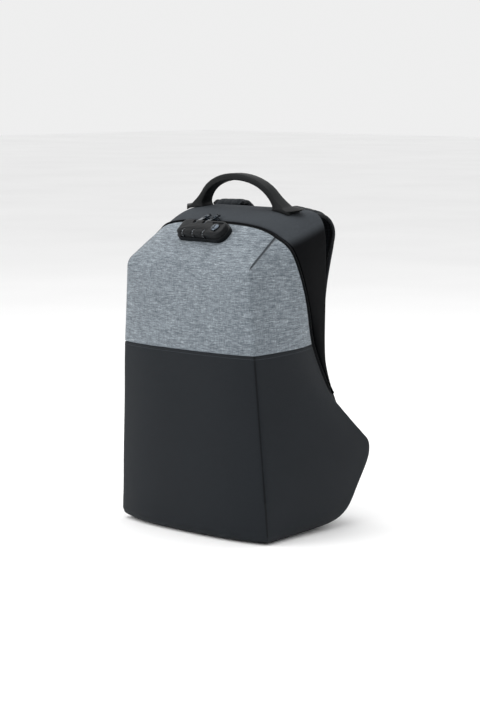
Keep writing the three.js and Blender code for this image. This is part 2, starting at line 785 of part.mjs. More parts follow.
function strapLine(side) {
  const rows = STRAP_LINE.map((row, i) => {
    const share = i / (STRAP_LINE.length - 1);
    return vec(
      side * lerp(STRAP_TOP_CENTRE, STRAP_FOOT_CENTRE, share),
      strapRoot + strapReach * row.reach,
      BODY_HEIGHT * row.height + STRAP_LIE[sideName(side)].lift * row.lift,
    );
  });
  return new THREE.CatmullRomCurve3(rows);
}

function strapFullness(share) {
  const place = share * (STRAP_LINE.length - 1);
  const row = Math.min(Math.floor(place), STRAP_LINE.length - 2);
  return lerp(STRAP_LINE[row].fullness, STRAP_LINE[row + 1].fullness, place - row);
}

function shoulderStrap(side) {
  const line = strapLine(side);
  const points = range(STRAP_STATIONS).map((share) => line.getPoint(share));
  const widthAxis = vec(side, 0, -STRAP_LIE[sideName(side)].tilt).normalize();
  return loft(ringsAlong(points, (i, share) => {
    const thickness = lerp(STRAP_ROOT_THICKNESS, STRAP_THICKNESS, strapFullness(share));
    return section(STRAP_WIDTH, thickness, Math.min(STRAP_CORNER, thickness * 0.45));
  }, widthAxis));
}

// Adjuster: a plain ladder buckle at the end of the pad
const ADJUSTER_BAR = 4;
const ADJUSTER_ROUND = 3;
const ADJUSTER_CLEAR = 1.5;

function strapEnd(side) {
  const line = strapLine(side);
  const end = line.getPoint(1);
  const ahead = line.getTangent(1);
  return { end, ahead };
}

function adjusterMatrix(side) {
  const { end, ahead } = strapEnd(side);
  const across = vec(1, 0, 0);
  const forward = ahead.clone().addScaledVector(across, -ahead.dot(across)).normalize();
  const up = across.clone().cross(forward);
  return new THREE.Matrix4().makeBasis(across, forward, up)
    .setPosition(end.clone().addScaledVector(forward, ADJUSTER_CLEAR + ADJUSTER_LENGTH / 2));
}

function roundedShape(width, length, radius) {
  const shape = new THREE.Shape();
  const [w, l] = [width / 2 - radius, length / 2 - radius];
  shape.absarc(w, l, radius, 0, Math.PI / 2);
  shape.absarc(-w, l, radius, Math.PI / 2, Math.PI);
  shape.absarc(-w, -l, radius, Math.PI, Math.PI * 1.5);
  shape.absarc(w, -l, radius, Math.PI * 1.5, Math.PI * 2);
  return shape;
}

function windowPath(width, low, high) {
  const path = new THREE.Path();
  path.moveTo(-width / 2, low);
  path.lineTo(width / 2, low);
  path.lineTo(width / 2, high);
  path.lineTo(-width / 2, high);
  path.closePath();
  return path;
}

function adjuster(side) {
  const shape = roundedShape(ADJUSTER_WIDTH, ADJUSTER_LENGTH, ADJUSTER_ROUND);
  const opening = ADJUSTER_WIDTH - 2 * ADJUSTER_BAR;
  const edge = ADJUSTER_LENGTH / 2 - ADJUSTER_BAR;
  shape.holes.push(windowPath(opening, -edge, -ADJUSTER_BAR / 2));
  shape.holes.push(windowPath(opening, ADJUSTER_BAR / 2, edge));
  const frame = new THREE.ExtrudeGeometry(shape, {
    depth: ADJUSTER_THICKNESS,
    bevelEnabled: false,
    curveSegments: 3,
  });
  return frame.translate(0, 0, -ADJUSTER_THICKNESS / 2).applyMatrix4(adjusterMatrix(side));
}

// Webbing from the adjuster over the lumbar bulge to the lower seam
const WEBBING_STEPS = 11;
const WEBBING_FOOT_HEIGHT = 48;
const WEBBING_CLEAR = 1.4;
const WEBBING_LAND_SHARE = 0.68;

function webbing(side) {
  const matrix = adjusterMatrix(side);
  const start = vec(0, ADJUSTER_LENGTH / 2 + ADJUSTER_CLEAR, 0).applyMatrix4(matrix);
  const x = start.x;
  const landHeight = ZIP_FOOT_HEIGHT * WEBBING_LAND_SHARE;
  const lying = (z) => {
    const slope = (panelDepth(x, z + 1) - panelDepth(x, z - 1)) / 2;
    const out = vec(0, 1, -slope).normalize();
    return vec(x, panelDepth(x, z), z).addScaledVector(out, WEBBING_CLEAR + WEBBING_THICKNESS / 2);
  };
  const points = [start, ...range(WEBBING_STEPS).map((share) => (
    lying(lerp(landHeight, WEBBING_FOOT_HEIGHT, share))))];
  return loft(ringsAlong(points, () => (
    section(WEBBING_WIDTH, WEBBING_THICKNESS, WEBBING_THICKNESS / 3, 1)), vec(1, 0, 0)));
}

// Top handle: one moulded loop whose legs flare into flat feet on the top panel
const HANDLE_STATIONS = 26;
const HANDLE_LEG_FLARE = 8;
const HANDLE_SINK = 5;

function handleLoop() {
  const foot = topHeight(HANDLE_HALF_SPAN, HANDLE_DEPTH) - HANDLE_SINK;
  const rows = HANDLE_LINE.map(({ span, rise }) => vec(
    HANDLE_HALF_SPAN * span,
    HANDLE_DEPTH - HANDLE_LEAN * rise,
    foot + (HANDLE_RISE + HANDLE_SINK) * rise,
  ));
  const line = overTheTop(rows);
  const flareAt = (share) => {
    const place = (1 - Math.abs(2 * share - 1)) * (HANDLE_LINE.length - 1);
    const row = Math.min(Math.floor(place), HANDLE_LINE.length - 2);
    return lerp(HANDLE_LINE[row].flare, HANDLE_LINE[row + 1].flare, place - row);
  };
  const points = range(HANDLE_STATIONS).map((share) => line.getPoint(share));
  return loft(ringsAlong(points, (i, share) => section(
    lerp(HANDLE_WIDTH, HANDLE_FOOT_WIDTH, flareAt(share)),
    HANDLE_THICKNESS + HANDLE_LEG_FLARE * flareAt(share),
    HANDLE_THICKNESS * 0.32,
  ), vec(0, 1, 0)));
}

// A foot lies on the top panel as one layer of even thickness
const footLayer = solidOf(sheet(gussetGrid, -GAP, {
  proud: HANDLE_FOOT_THICKNESS + GAP,
  border: gussetBorder,
}));
const gussetCutter = solidOf(sheet(gussetGrid, HANDLE_RISE / 2, { proud: GAP, border: gussetBorder }));

function handleFoot(side) {
  const block = new THREE.ExtrudeGeometry(roundedShape(HANDLE_FOOT_LENGTH, HANDLE_FOOT_WIDTH, 4), {
    depth: 2 * HANDLE_RISE,
    bevelEnabled: false,
    curveSegments: 3,
  });
  const x = side * (HANDLE_HALF_SPAN + HANDLE_FOOT_LENGTH / 3);
  block.translate(x, HANDLE_DEPTH, topHeight(x, HANDLE_DEPTH) - HANDLE_RISE);
  return solidOf(block).intersect(footLayer);
}

function handle() {
  return geometryOf(solidOf(handleLoop())
    .subtract(gussetCutter)
    .add(handleFoot(1))
    .add(handleFoot(-1)));
}

// Lock: its own frame lies on the roof, X along the zip, Y up the slope, Z off the roof
const lockRear = zipPoint(zipShareAt(LOCK_CENTRE_X), frontZipOffset);
const roofSlope = (() => {
  const behind = lockRear.y - 2;
  const ahead = lockRear.y - LOCK_WIDTH;
  const drop = roofHeight(LOCK_CENTRE_X, behind) - roofHeight(LOCK_CENTRE_X, ahead);
  return Math.atan2(drop, behind - ahead);
})();
const lockGroup = new THREE.Group();
const lockSetback = LOCK_REAR_MARGIN + LOCK_WIDTH / 2;
const lockY = lockRear.y - lockSetback * Math.cos(roofSlope);
lockGroup.position.set(LOCK_CENTRE_X, lockY, roofHeight(LOCK_CENTRE_X, lockY));
lockGroup.rotation.x = roofSlope;
lockGroup.updateMatrixWorld(true);
const toLock = lockGroup.matrixWorld.clone().invert();

const LOCK_LEFT_ROUND = 10;
const LOCK_RIGHT_ROUND = 13;
const LOCK_SINK = 5;
const DIAL_FIRST = -29;
const DIAL_PLACE = -9;
const CYLINDER_PLACE = vec(27, 0, 0);
const RECESS_DEPTH = 1.2;
const RECESS_HALF = 9.5;
const RECESS_ROUND = 2;

function lockOutline(inset) {
  const [halfLength, halfWidth] = [LOCK_LENGTH / 2 - inset, LOCK_WIDTH / 2 - inset];
  const [left, right] = [LOCK_LEFT_ROUND - inset, LOCK_RIGHT_ROUND - inset];
  const shape = new THREE.Shape();
  shape.absarc(halfLength - right, halfWidth - right, right, 0, Math.PI / 2);
  shape.absarc(-halfLength + left, halfWidth - left, left, Math.PI / 2, Math.PI);
  shape.absarc(-halfLength + left, -halfWidth + left, left, Math.PI, Math.PI * 1.5);
  shape.absarc(halfLength - right, -halfWidth + right, right, Math.PI * 1.5, Math.PI * 2);
  return shape;
}

// Shallow three-cornered recess round the key cylinder, with rounded corners
function keyRecess() {
  const right = LOCK_LENGTH / 2 - LOCK_STEP - LOCK_BEVEL - 1.5;
  const corners = [
    new THREE.Vector2(CYLINDER_PLACE.x - CYLINDER_RADIUS - 5, RECESS_HALF),
    new THREE.Vector2(CYLINDER_PLACE.x + 4, -RECESS_HALF),
    new THREE.Vector2(right, RECESS_HALF),
  ];
  const shape = new THREE.Shape();
  corners.forEach((corner, i) => {
    const before = corners[(i + 2) % 3].clone().sub(corner).setLength(RECESS_ROUND).add(corner);
    const after = corners[(i + 1) % 3].clone().sub(corner).setLength(RECESS_ROUND).add(corner);
    if (i === 0) shape.moveTo(before.x, before.y);
    else shape.lineTo(before.x, before.y);
    shape.quadraticCurveTo(corner.x, corner.y, after.x, after.y);
  });
  shape.closePath();
  return new THREE.ExtrudeGeometry(shape, {
    depth: LOCK_HEIGHT,
    bevelEnabled: false,
    curveSegments: 3,
  }).translate(0, 0, LOCK_HEIGHT - RECESS_DEPTH);
}

function dialCentre(index) {
  return vec(DIAL_FIRST + index * DIAL_PITCH, DIAL_PLACE, LOCK_HEIGHT - DIAL_RADIUS + DIAL_PROUD);
}

function drum(radius, length, sides) {
  return new THREE.CylinderGeometry(radius, radius, length, sides).rotateZ(Math.PI / 2);
}

// Zip sliders and their pulls: each pull lies from its slider down into the lock's slot
const SLIDER_LENGTH = 11;
const SLIDER_WIDTH = 6.8;
const SLIDER_HEIGHT = 3;
const SLIDER_LUG = 5.2;
const SLIDER_LUG_WIDTH = 2;
const SLIDER_LUG_LENGTH = 3;
const PULL_SLOT_PLACE = 6;
const PULL_SLOT_DEPTH = 1.6;
const PULL_TAIL = 9;
const PULL_WINDOW = 4.4;
const pullPlaces = [-PULL_SPACING - 1, -1];

function sliderFrame(lockX) {
  const share = zipShareAt(LOCK_CENTRE_X + lockX);
  const out = zipOut(share);
  const along = zipPlaneNormal.clone().cross(out);
  const base = zipPoint(share, 0).addScaledVector(out, ZIP_COIL_HEIGHT - ZIP_RECESS + GAP);
  const matrix = new THREE.Matrix4().makeBasis(along, zipPlaneNormal, out).setPosition(base);
  return { out, base, matrix };
}

function slider(lockX) {
  const body = new THREE.ExtrudeGeometry(roundedShape(SLIDER_LENGTH, SLIDER_WIDTH, 2), {
    depth: SLIDER_HEIGHT,
    bevelEnabled: false,
    curveSegments: 2,
  });
  const lug = new THREE.BoxGeometry(SLIDER_LUG_WIDTH, SLIDER_LUG_LENGTH, SLIDER_LUG + SLIDER_HEIGHT);
  lug.translate(0, 0, (SLIDER_LUG + SLIDER_HEIGHT) / 2);
  return geometryOf(solidOf(body).add(solidOf(lug))).applyMatrix4(sliderFrame(lockX).matrix);
}

// Frame of a pull: origin at its slot, Y towards the slider
function pullFrame(lockX) {
  const slot = vec(lockX, PULL_SLOT_PLACE, LOCK_HEIGHT - PULL_SLOT_DEPTH)
    .applyMatrix4(lockGroup.matrixWorld);
  const { base, out } = sliderFrame(lockX);
  const over = base.clone().addScaledVector(out, SLIDER_HEIGHT + GAP + PULL_THICKNESS / 2 + 1);
  over.x = slot.x;
  const ahead = over.clone().sub(slot).normalize();
  const across = vec(1, 0, 0);
  const up = across.clone().cross(ahead);
  const matrix = new THREE.Matrix4().makeBasis(across, ahead, up).setPosition(slot);
  return { matrix, length: over.distanceTo(slot) };
}

function pull(lockX) {
  const { matrix, length } = pullFrame(lockX);
  const whole = length + PULL_TAIL;
  const shape = roundedShape(PULL_WIDTH, whole, 1.5);
  const low = length - whole / 2 - PULL_WINDOW / 2;
  shape.holes.push(windowPath(SLIDER_LUG_WIDTH + 4 * GAP, low, low + PULL_WINDOW));
  return new THREE.ExtrudeGeometry(shape, {
    depth: PULL_THICKNESS,
    bevelEnabled: false,
    curveSegments: 2,
  }).translate(0, whole / 2, -PULL_THICKNESS / 2).applyMatrix4(matrix);
}

function pullSlot(lockX) {
  const { matrix, length } = pullFrame(lockX);
  const height = LOCK_HEIGHT;
  const cutter = new THREE.BoxGeometry(PULL_WIDTH + 2 * GAP, length + GAP, height);
  cutter.translate(0, length / 2 - GAP / 2, height / 2 - PULL_THICKNESS / 2 - GAP);
  return solidOf(cutter.applyMatrix4(matrix).applyMatrix4(toLock));
}

function lockBody() {
  const plinth = new THREE.ExtrudeGeometry(lockOutline(0), {
    depth: LOCK_PLINTH + LOCK_SINK,
    bevelEnabled: false,
    curveSegments: 5,
  }).translate(0, 0, -LOCK_SINK);
  const upper = new THREE.ExtrudeGeometry(lockOutline(LOCK_STEP + LOCK_BEVEL), {
    depth: LOCK_HEIGHT - LOCK_BEVEL * 2,
    bevelThickness: LOCK_BEVEL,
    bevelSize: LOCK_BEVEL,
    bevelSegments: 2,
    curveSegments: 5,
  }).translate(0, 0, LOCK_BEVEL);
  let body = solidOf(plinth).add(solidOf(upper));
  range(DIAL_COUNT - 1).forEach((share) => {
    const centre = dialCentre(Math.round(share * (DIAL_COUNT - 1)));
    const pocket = drum(DIAL_RADIUS + 2 * GAP, DIAL_WIDTH + 2 * GAP, 20).translate(...centre);
    body = body.subtract(solidOf(pocket));
  });
  const boreRadius = CYLINDER_RADIUS + GAP;
  const bore = new THREE.CylinderGeometry(boreRadius, boreRadius, 2 * CYLINDER_DEPTH, 24);
  bore.rotateX(Math.PI / 2).translate(CYLINDER_PLACE.x, CYLINDER_PLACE.y, LOCK_HEIGHT);
  body = body.subtract(solidOf(bore)).subtract(solidOf(keyRecess()));
  pullPlaces.forEach((place) => { body = body.subtract(pullSlot(place)); });
  const roof = sheet(upperGrid, LOCK_HEIGHT, { proud: GAP, border: upperBorder }).applyMatrix4(toLock);
  return geometryOf(body.subtract(solidOf(roof)));
}

// Dial with shallow grip notches round its rim
const DIAL_NOTCHES = 10;
const DIAL_NOTCH_DEPTH = 0.5;

function dial() {
  const shape = new THREE.Shape();
  range(DIAL_NOTCHES * 4).slice(1).forEach((share, i) => {
    const angle = share * Math.PI * 2;
    const radius = DIAL_RADIUS - (i % 4 < 2 ? 0 : DIAL_NOTCH_DEPTH);
    const [x, y] = [radius * Math.cos(angle), radius * Math.sin(angle)];
    if (i === 0) shape.moveTo(x, y);
    else shape.lineTo(x, y);
  });
  shape.closePath();
  const wheel = new THREE.ExtrudeGeometry(shape, { depth: DIAL_WIDTH, bevelEnabled: false });
  return wheel.translate(0, 0, -DIAL_WIDTH / 2).rotateY(Math.PI / 2);
}

// Key cylinder with a low dome and a keyway
const KEYWAY_WIDTH = 1.4;
const KEYWAY_LENGTH = 7;
const KEYWAY_DEPTH = 3;

function keyCylinder() {
  const profile = [
    new THREE.Vector2(0, -CYLINDER_DEPTH + GAP),
    new THREE.Vector2(CYLINDER_RADIUS, -CYLINDER_DEPTH + GAP),
    new THREE.Vector2(CYLINDER_RADIUS, CYLINDER_PROUD * 0.35),
    new THREE.Vector2(CYLINDER_RADIUS * 0.8, CYLINDER_PROUD * 0.8),
    new THREE.Vector2(CYLINDER_RADIUS * 0.45, CYLINDER_PROUD),
    new THREE.Vector2(0, CYLINDER_PROUD),
  ];
  const barrel = new THREE.LatheGeometry(profile, 24).rotateX(Math.PI / 2);
  const keyway = new THREE.BoxGeometry(KEYWAY_WIDTH, KEYWAY_LENGTH, KEYWAY_DEPTH * 2)
    .translate(0, 0, CYLINDER_PROUD);
  return geometryOf(solidOf(barrel).subtract(solidOf(keyway)));
}

// Finishes
const finish = (color, roughness, metalness = 0) => (
  new THREE.MeshStandardMaterial({ color, roughness, metalness }));
const darkCloth = finish(0x2a2e31, 0.9);
const greyMelange = finish(0x9aa2a9, 0.92);
const blackCloth = finish(0x3a3e42, 0.9);
const backMesh = finish(0x17191c, 0.95);
const strapCloth = finish(0x1d2023, 0.92);
const mouldedBlack = finish(0x26292a, 0.6);
const lockBlack = finish(0x2b2f35, 0.4);
const dialBlack = finish(0x1d2024, 0.35);
const zipBlack = finish(0x14171b, 0.7);
const gunmetal = finish(0x50555c, 0.3, 0.9);
const bareSteel = finish(0x9a9ea3, 0.3, 0.9);

// The assembled bag
const bag = new THREE.Group();

function place(name, geometry, material, parent = bag) {
  const mesh = new THREE.Mesh(geometry, material);
  mesh.name = name;
  parent.add(mesh);
  return mesh;
}

place('lower_shell', sheet(lowerGrid, SHELL_WALL, { border: lowerBorder }), darkCloth);
place('floor_plate', floorPlate(), darkCloth);
place('upper_shell', sheet(upperGrid, SHELL_WALL, { border: upperBorder }), greyMelange);
place('rear_gusset', sheet(gussetGrid, GUSSET_WALL, { border: gussetBorder }), blackCloth);
place('back_panel', sheet(panelGrid, panelWall), backMesh);
place('zip_chain', zipChain(), zipBlack);
place('top_handle', handle(), mouldedBlack);
[1, -1].forEach((side) => {
  const name = sideName(side);
  place(`shoulder_strap_${name}`, shoulderStrap(side), strapCloth);
  place(`strap_adjuster_${name}`, adjuster(side), mouldedBlack);
  place(`strap_webbing_${name}`, webbing(side), strapCloth);
});
pullPlaces.forEach((lockX, i) => {
  place(`zip_slider_${i + 1}`, slider(lockX), gunmetal);
  place(`zip_pull_${i + 1}`, pull(lockX), gunmetal);
});

bag.add(lockGroup);
place('lock_body', lockBody(), lockBlack, lockGroup);
for (let i = 0; i < DIAL_COUNT; i += 1) {
  place(`lock_dial_${i + 1}`, dial(), dialBlack, lockGroup).position.copy(dialCentre(i));
}
place('lock_key_cylinder', keyCylinder(), bareSteel, lockGroup)
  .position.set(CYLINDER_PLACE.x, CYLINDER_PLACE.y, LOCK_HEIGHT);

// Origin: middle of the footprint on the ground
const box = new THREE.Box3().setFromObject(bag);
bag.position.set(-(box.min.x + box.max.x) / 2, -(box.min.y + box.max.y) / 2, -box.min.z);

export default bag;
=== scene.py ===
import math

import bmesh
import bpy
from mathutils import Matrix, Vector, noise


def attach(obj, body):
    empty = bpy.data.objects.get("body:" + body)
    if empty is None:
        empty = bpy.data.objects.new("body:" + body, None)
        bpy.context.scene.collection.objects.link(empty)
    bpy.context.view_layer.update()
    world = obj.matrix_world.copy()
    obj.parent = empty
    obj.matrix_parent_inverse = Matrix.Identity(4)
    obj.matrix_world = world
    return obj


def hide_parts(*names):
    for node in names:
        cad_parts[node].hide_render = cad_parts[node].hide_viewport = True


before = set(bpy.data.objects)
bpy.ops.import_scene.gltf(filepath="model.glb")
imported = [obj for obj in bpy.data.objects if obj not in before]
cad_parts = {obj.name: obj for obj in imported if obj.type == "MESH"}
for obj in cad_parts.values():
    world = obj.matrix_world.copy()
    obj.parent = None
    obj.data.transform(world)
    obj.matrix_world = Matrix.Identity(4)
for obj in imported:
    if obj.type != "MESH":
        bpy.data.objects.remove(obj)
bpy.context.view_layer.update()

MM = 0.001

# Lines on the bag, in millimetres
ZIP_HALF = [
    (-131.7, 42.4, 202.7), (-129.3, 37.9, 213.6), (-126.5, 30.0, 232.7), (-124.9, 22.9, 249.8),
    (-124.6, 16.5, 265.3), (-125.9, 11.5, 277.4), (-128.2, 6.7, 288.9), (-131.8, 0.4, 304.3),
    (-135.1, -6.1, 319.9), (-137.2, -12.3, 335.0), (-138.8, -18.8, 350.5), (-139.7, -25.5, 366.7),
    (-139.4, -32.1, 382.6), (-137.5, -38.2, 397.5), (-134.1, -41.7, 405.9), (-129.5, -44.1, 411.8),
    (-124.0, -45.7, 415.7), (-116.9, -47.4, 419.7), (-107.0, -50.0, 426.0), (-93.5, -52.2, 431.3),
    (-74.4, -53.7, 434.8), (-53.7, -54.5, 436.9), (-32.0, -54.8, 437.6), (-15.2, -55.0, 438.1),
    (0.0, -55.1, 438.2),
]
BACK_EDGE_HALF = [
    (101.1, 35.8, 3.0), (111.4, 51.5, 6.6), (122.3, 64.9, 13.8), (129.7, 78.1, 25.8), (132.4, 88.7, 43.8),
    (134.2, 97.5, 61.9), (136.0, 107.0, 79.9), (137.7, 115.9, 97.9), (138.3, 117.1, 117.1),
    (138.0, 102.9, 132.7), (137.2, 88.3, 145.9), (136.2, 74.2, 159.2), (135.0, 59.2, 173.6),
    (132.8, 46.7, 188.0), (122.8, 43.6, 218.2), (120.5, 39.8, 244.3), (120.4, 38.7, 269.1),
    (120.9, 38.4, 293.0), (121.5, 38.3, 316.4), (122.1, 38.4, 339.3), (122.4, 38.4, 361.8),
    (122.5, 38.4, 384.0), (122.2, 38.4, 406.0), (120.7, 38.4, 423.2), (118.5, 38.4, 432.3),
    (114.4, 38.4, 439.8), (107.9, 38.4, 446.0), (93.0, 38.4, 449.6), (68.4, 38.4, 450.1),
    (35.7, 38.4, 450.4), (0.0, 38.4, 450.3),
]
STRAP_RIGHT = [
    (72.0, 41.4, 449.5), (72.6, 47.4, 450.4), (73.1, 54.8, 449.9), (73.7, 63.5, 447.3), (74.2, 72.1, 441.6),
    (74.8, 77.9, 432.8), (75.3, 80.0, 420.9), (75.9, 75.8, 403.5), (76.5, 68.6, 378.6), (77.0, 60.7, 345.8),
    (77.5, 56.5, 314.9), (78.1, 54.3, 289.3), (78.7, 53.8, 268.4), (79.2, 55.9, 247.2), (79.8, 60.8, 225.8),
    (80.3, 68.1, 204.8), (80.9, 75.5, 187.3), (81.4, 81.6, 174.8), (82.0, 86.5, 166.1),
]
STRAP_LEFT = [
    (-72.0, 41.4, 449.5), (-72.6, 47.3, 456.4), (-73.1, 54.7, 458.5), (-73.7, 63.5, 455.3),
    (-74.2, 72.1, 448.5), (-74.8, 77.9, 438.6), (-75.3, 80.0, 425.7), (-75.9, 75.8, 406.7),
    (-76.5, 68.6, 380.1), (-77.0, 60.7, 345.8), (-77.5, 56.5, 314.8), (-78.1, 54.3, 289.3),
    (-78.7, 53.8, 268.4), (-79.2, 55.9, 247.2), (-79.8, 60.8, 225.8), (-80.3, 68.1, 204.8),
    (-80.9, 75.5, 187.3), (-81.4, 81.6, 174.8), (-82.0, 86.5, 166.1),
]
STRAP_TILT = {"right": 0.15, "left": 0.03}
STRAP_HALF_WIDTH = 28.0
RUNNER_WIDTH = 25.0
RUNNER_RISE = 8.6
BINDING_RADIUS = 2.6
PIPING_RADIUS = 2.2
TUBE_ROUNDNESS = 3
DIAL_PLACES = [-25.0, -5.0, 15.0]
DIAL_CENTRE = (-89.488, 422.468)

# Places and measures of details, in metres
DART_FOOT = (0.1202, -0.1090, 0.3818)
DART_TOP = (0.1139, -0.0519, 0.4205)
PEBBLES_PER_METRE = 900.0
PEBBLE_DEPTH = 0.00006
STITCH_HEIGHT = 0.2578
SWELL_FRAMES = 20
CHANNEL_INSET = 0.016
SPINE_OFFSET = 0.011
CHANNEL_DEPTH = 0.0046
TOOTH_PITCH = 0.00185
NUMERAL_RADIUS = 0.00602


# Modelling helpers
def only(piece):
    bpy.ops.object.select_all(action="DESELECT")
    piece.select_set(True)
    bpy.context.view_layer.objects.active = piece


def in_edit(piece, kind="FACE"):
    only(piece)
    bpy.ops.object.mode_set(mode="EDIT")
    bpy.ops.mesh.select_mode(type=kind)
    bpy.ops.mesh.select_all(action="DESELECT")


def out_of_edit():
    bpy.ops.object.mode_set(mode="OBJECT")


def modify(piece, kind, **settings):
    only(piece)
    made = piece.modifiers.new(kind.title(), kind)
    for key, value in settings.items():
        setattr(made, key, value)
    bpy.ops.object.modifier_apply(modifier=made.name)


def subdivide(piece, levels):
    modify(piece, "SUBSURF", levels=levels, render_levels=levels, boundary_smooth="PRESERVE_CORNERS")


def smooth(piece, degrees=50):
    only(piece)
    bpy.ops.object.shade_smooth_by_angle(angle=math.radians(degrees))


def apply_place(piece):
    only(piece)
    bpy.ops.object.transform_apply(location=True, rotation=True, scale=True)


def named(name):
    piece = bpy.context.view_layer.objects.active
    piece.name = name
    piece.data.name = name
    return piece


def node_copy(node, name, quads=True):
    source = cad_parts[node]
    piece = bpy.data.objects.new(name, source.data.copy())
    piece.data.name = name
    bpy.context.scene.collection.objects.link(piece)
    piece.data.materials.clear()
    only(piece)
    bpy.ops.mesh.customdata_custom_splitnormals_clear()
    bpy.ops.object.mode_set(mode="EDIT")
    bpy.ops.mesh.select_all(action="SELECT")
    bpy.ops.mesh.remove_doubles(threshold=0.00002)
    if quads:
        bpy.ops.mesh.tris_convert_to_quads(face_threshold=math.radians(50), shape_threshold=math.radians(60))
    out_of_edit()
    return piece


def crease(piece, degrees, value, test=None):
    mesh = bmesh.new()
    mesh.from_mesh(piece.data)
    layer = mesh.edges.layers.float.get("crease_edge") or mesh.edges.layers.float.new("crease_edge")
    for edge in mesh.edges:
        turn = edge.calc_face_angle(0.0)
        if turn > math.radians(degrees) and (test is None or test(edge)):
            edge[layer] = value
    mesh.to_mesh(piece.data)
    mesh.free()


def join(pieces, name):
    bpy.ops.object.select_all(action="DESELECT")
    for piece in pieces:
        piece.select_set(True)
    bpy.context.view_layer.objects.active = pieces[0]
    if len(pieces) > 1:
        bpy.ops.object.join()
    return named(name)


def finish_piece(piece, material, body="bag", nodes=()):
    piece.data.materials.clear()
    piece.data.materials.append(material)
    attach(piece, body)
    if nodes:
        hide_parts(*nodes)
    return piece


def curve_line(name, points):
    data = bpy.data.curves.new(name, "CURVE")
    data.dimensions = "3D"
    data.resolution_u = 6
    spline = data.splines.new("BEZIER")
    spline.bezier_points.add(len(points) - 1)
    for knot, point in zip(spline.bezier_points, points):
        knot.co = Vector(point) * MM
        knot.handle_left_type = "AUTO"
        knot.handle_right_type = "AUTO"
    piece = bpy.data.objects.new(name, data)
    bpy.context.scene.collection.objects.link(piece)
    return piece


def tube(name, points, radius):
    piece = curve_line(name, points)
    piece.data.bevel_depth = radius * MM
    piece.data.bevel_resolution = TUBE_ROUNDNESS
    piece.data.use_fill_caps = True
    only(piece)
    bpy.ops.object.convert(target="MESH")
    piece = named(name)
    smooth(piece, 60)
    return piece


# Finishes
class Value:
    def __init__(self, finish, socket):
        self.finish = finish
        self.socket = socket

    def maths(self, operation, *terms):
        return self.finish.node("Math", {"operation": operation}, dict(enumerate(terms or (self,))))

    def __add__(self, other):
        return self.maths("ADD", self, other)

    def __radd__(self, other):
        return self.maths("ADD", other, self)

    def __sub__(self, other):
        return self.maths("SUBTRACT", self, other)

    def __rsub__(self, other):
        return self.maths("SUBTRACT", other, self)

    def __mul__(self, other):
        return self.maths("MULTIPLY", self, other)

    def __rmul__(self, other):
        return self.maths("MULTIPLY", other, self)

    def __truediv__(self, other):
        return self.maths("DIVIDE", self, other)

    def __gt__(self, other):
        return self.maths("GREATER_THAN", self, other)

    def __lt__(self, other):
        return self.maths("LESS_THAN", self, other)

    def __abs__(self):
        return self.maths("ABSOLUTE", self)

    def wave(self, pitch, shift=0.0):
        return self.maths("SINE", self * (2 * math.pi / pitch) + shift)

    def step(self, low, high):
        return self.finish.node(
            "MapRange",
            {"interpolation_type": "SMOOTHSTEP"},
            {"Value": self, "From Min": low, "From Max": high},
        )


class Finish:
    def __init__(self, name, roughness=0.8, metallic=0.0, specular=0.4, sheen=0.0, coat=0.0):
        self.material = bpy.data.materials.new(name)
        self.material.use_nodes = True
        self.tree = self.material.node_tree
        self.shader = self.tree.nodes["Principled BSDF"]
        self.shader.inputs["Roughness"].default_value = roughness
        self.shader.inputs["Metallic"].default_value = metallic
        self.shader.inputs["Specular IOR Level"].default_value = specular
        self.shader.inputs["Sheen Weight"].default_value = sheen
        self.shader.inputs["Sheen Roughness"].default_value = 0.5
        self.shader.inputs["Coat Weight"].default_value = coat
        self.shader.inputs["Coat Roughness"].default_value = 0.25
        place = self.node("TexCoord", out="Object")
        self.place = place
        split = self.node("SeparateXYZ", None, {0: place})
        self.x = split
        self.y = Value(self, split.socket.node.outputs[1])
        self.z = Value(self, split.socket.node.outputs[2])

    def node(self, kind, settings=None, sockets=None, out=0):
        made = self.tree.nodes.new("ShaderNode" + kind)
        for key, value in (settings or {}).items():
            if key == "stops":
                ramp = made.color_ramp
                ramp.elements[0].position, ramp.elements[0].color = value[0]
                ramp.elements[1].position, ramp.elements[1].color = value[-1]
                for place, colour in value[1:-1]:
                    ramp.elements.new(place).color = colour
            else:
                setattr(made, key, value)
        for key, value in (sockets or {}).items():
            if isinstance(value, Value):
                self.tree.links.new(value.socket, made.inputs[key])
            else:
                made.inputs[key].default_value = value
        return Value(self, made.outputs[out])

    def vector(self, x, y, z):
        return self.node("CombineXYZ", None, {0: x, 1: y, 2: z})

    def stretched(self, x, y, z):
        return self.node("VectorMath", {"operation": "MULTIPLY"}, {0: self.place, 1: (x, y, z)})

    def grain(self, at, scale=1.0, detail=2.0, rough=0.5):
        return self.node(
            "TexNoise",
            None,
            {"Vector": at, "Scale": scale, "Detail": detail, "Roughness": rough},
        )

    def tint(self, mask, low, high):
        return self.node("Mix", {"data_type": "RGBA"}, {0: mask, 6: low, 7: high}, out=2)

    def colour(self, value):
        self.tree.links.new(value.socket, self.shader.inputs["Base Color"])

    def rough(self, value):
        self.tree.links.new(value.socket, self.shader.inputs["Roughness"])

    def relief(self, height, depth, strength=1.0):
        bump = self.node("Bump", None, {"Height": height, "Distance": depth, "Strength": strength})
        self.tree.links.new(bump.socket, self.shader.inputs["Normal"])


def shade(code):
    parts = [int(code[i:i + 2], 16) / 255 for i in (1, 3, 5)]
    linear = [part / 12.92 if part <= 0.04045 else ((part + 0.055) / 1.055) ** 2.4 for part in parts]
    return (*linear, 1.0)


def plain_weave(finish, across, up, pitch):
    warp = abs(across.wave(2 * pitch))
    weft = abs(up.wave(2 * pitch, math.pi / 2))
    over = (across.wave(4 * pitch) * up.wave(4 * pitch)).step(-0.1, 0.1)
    return warp * over + weft * (1 - over)


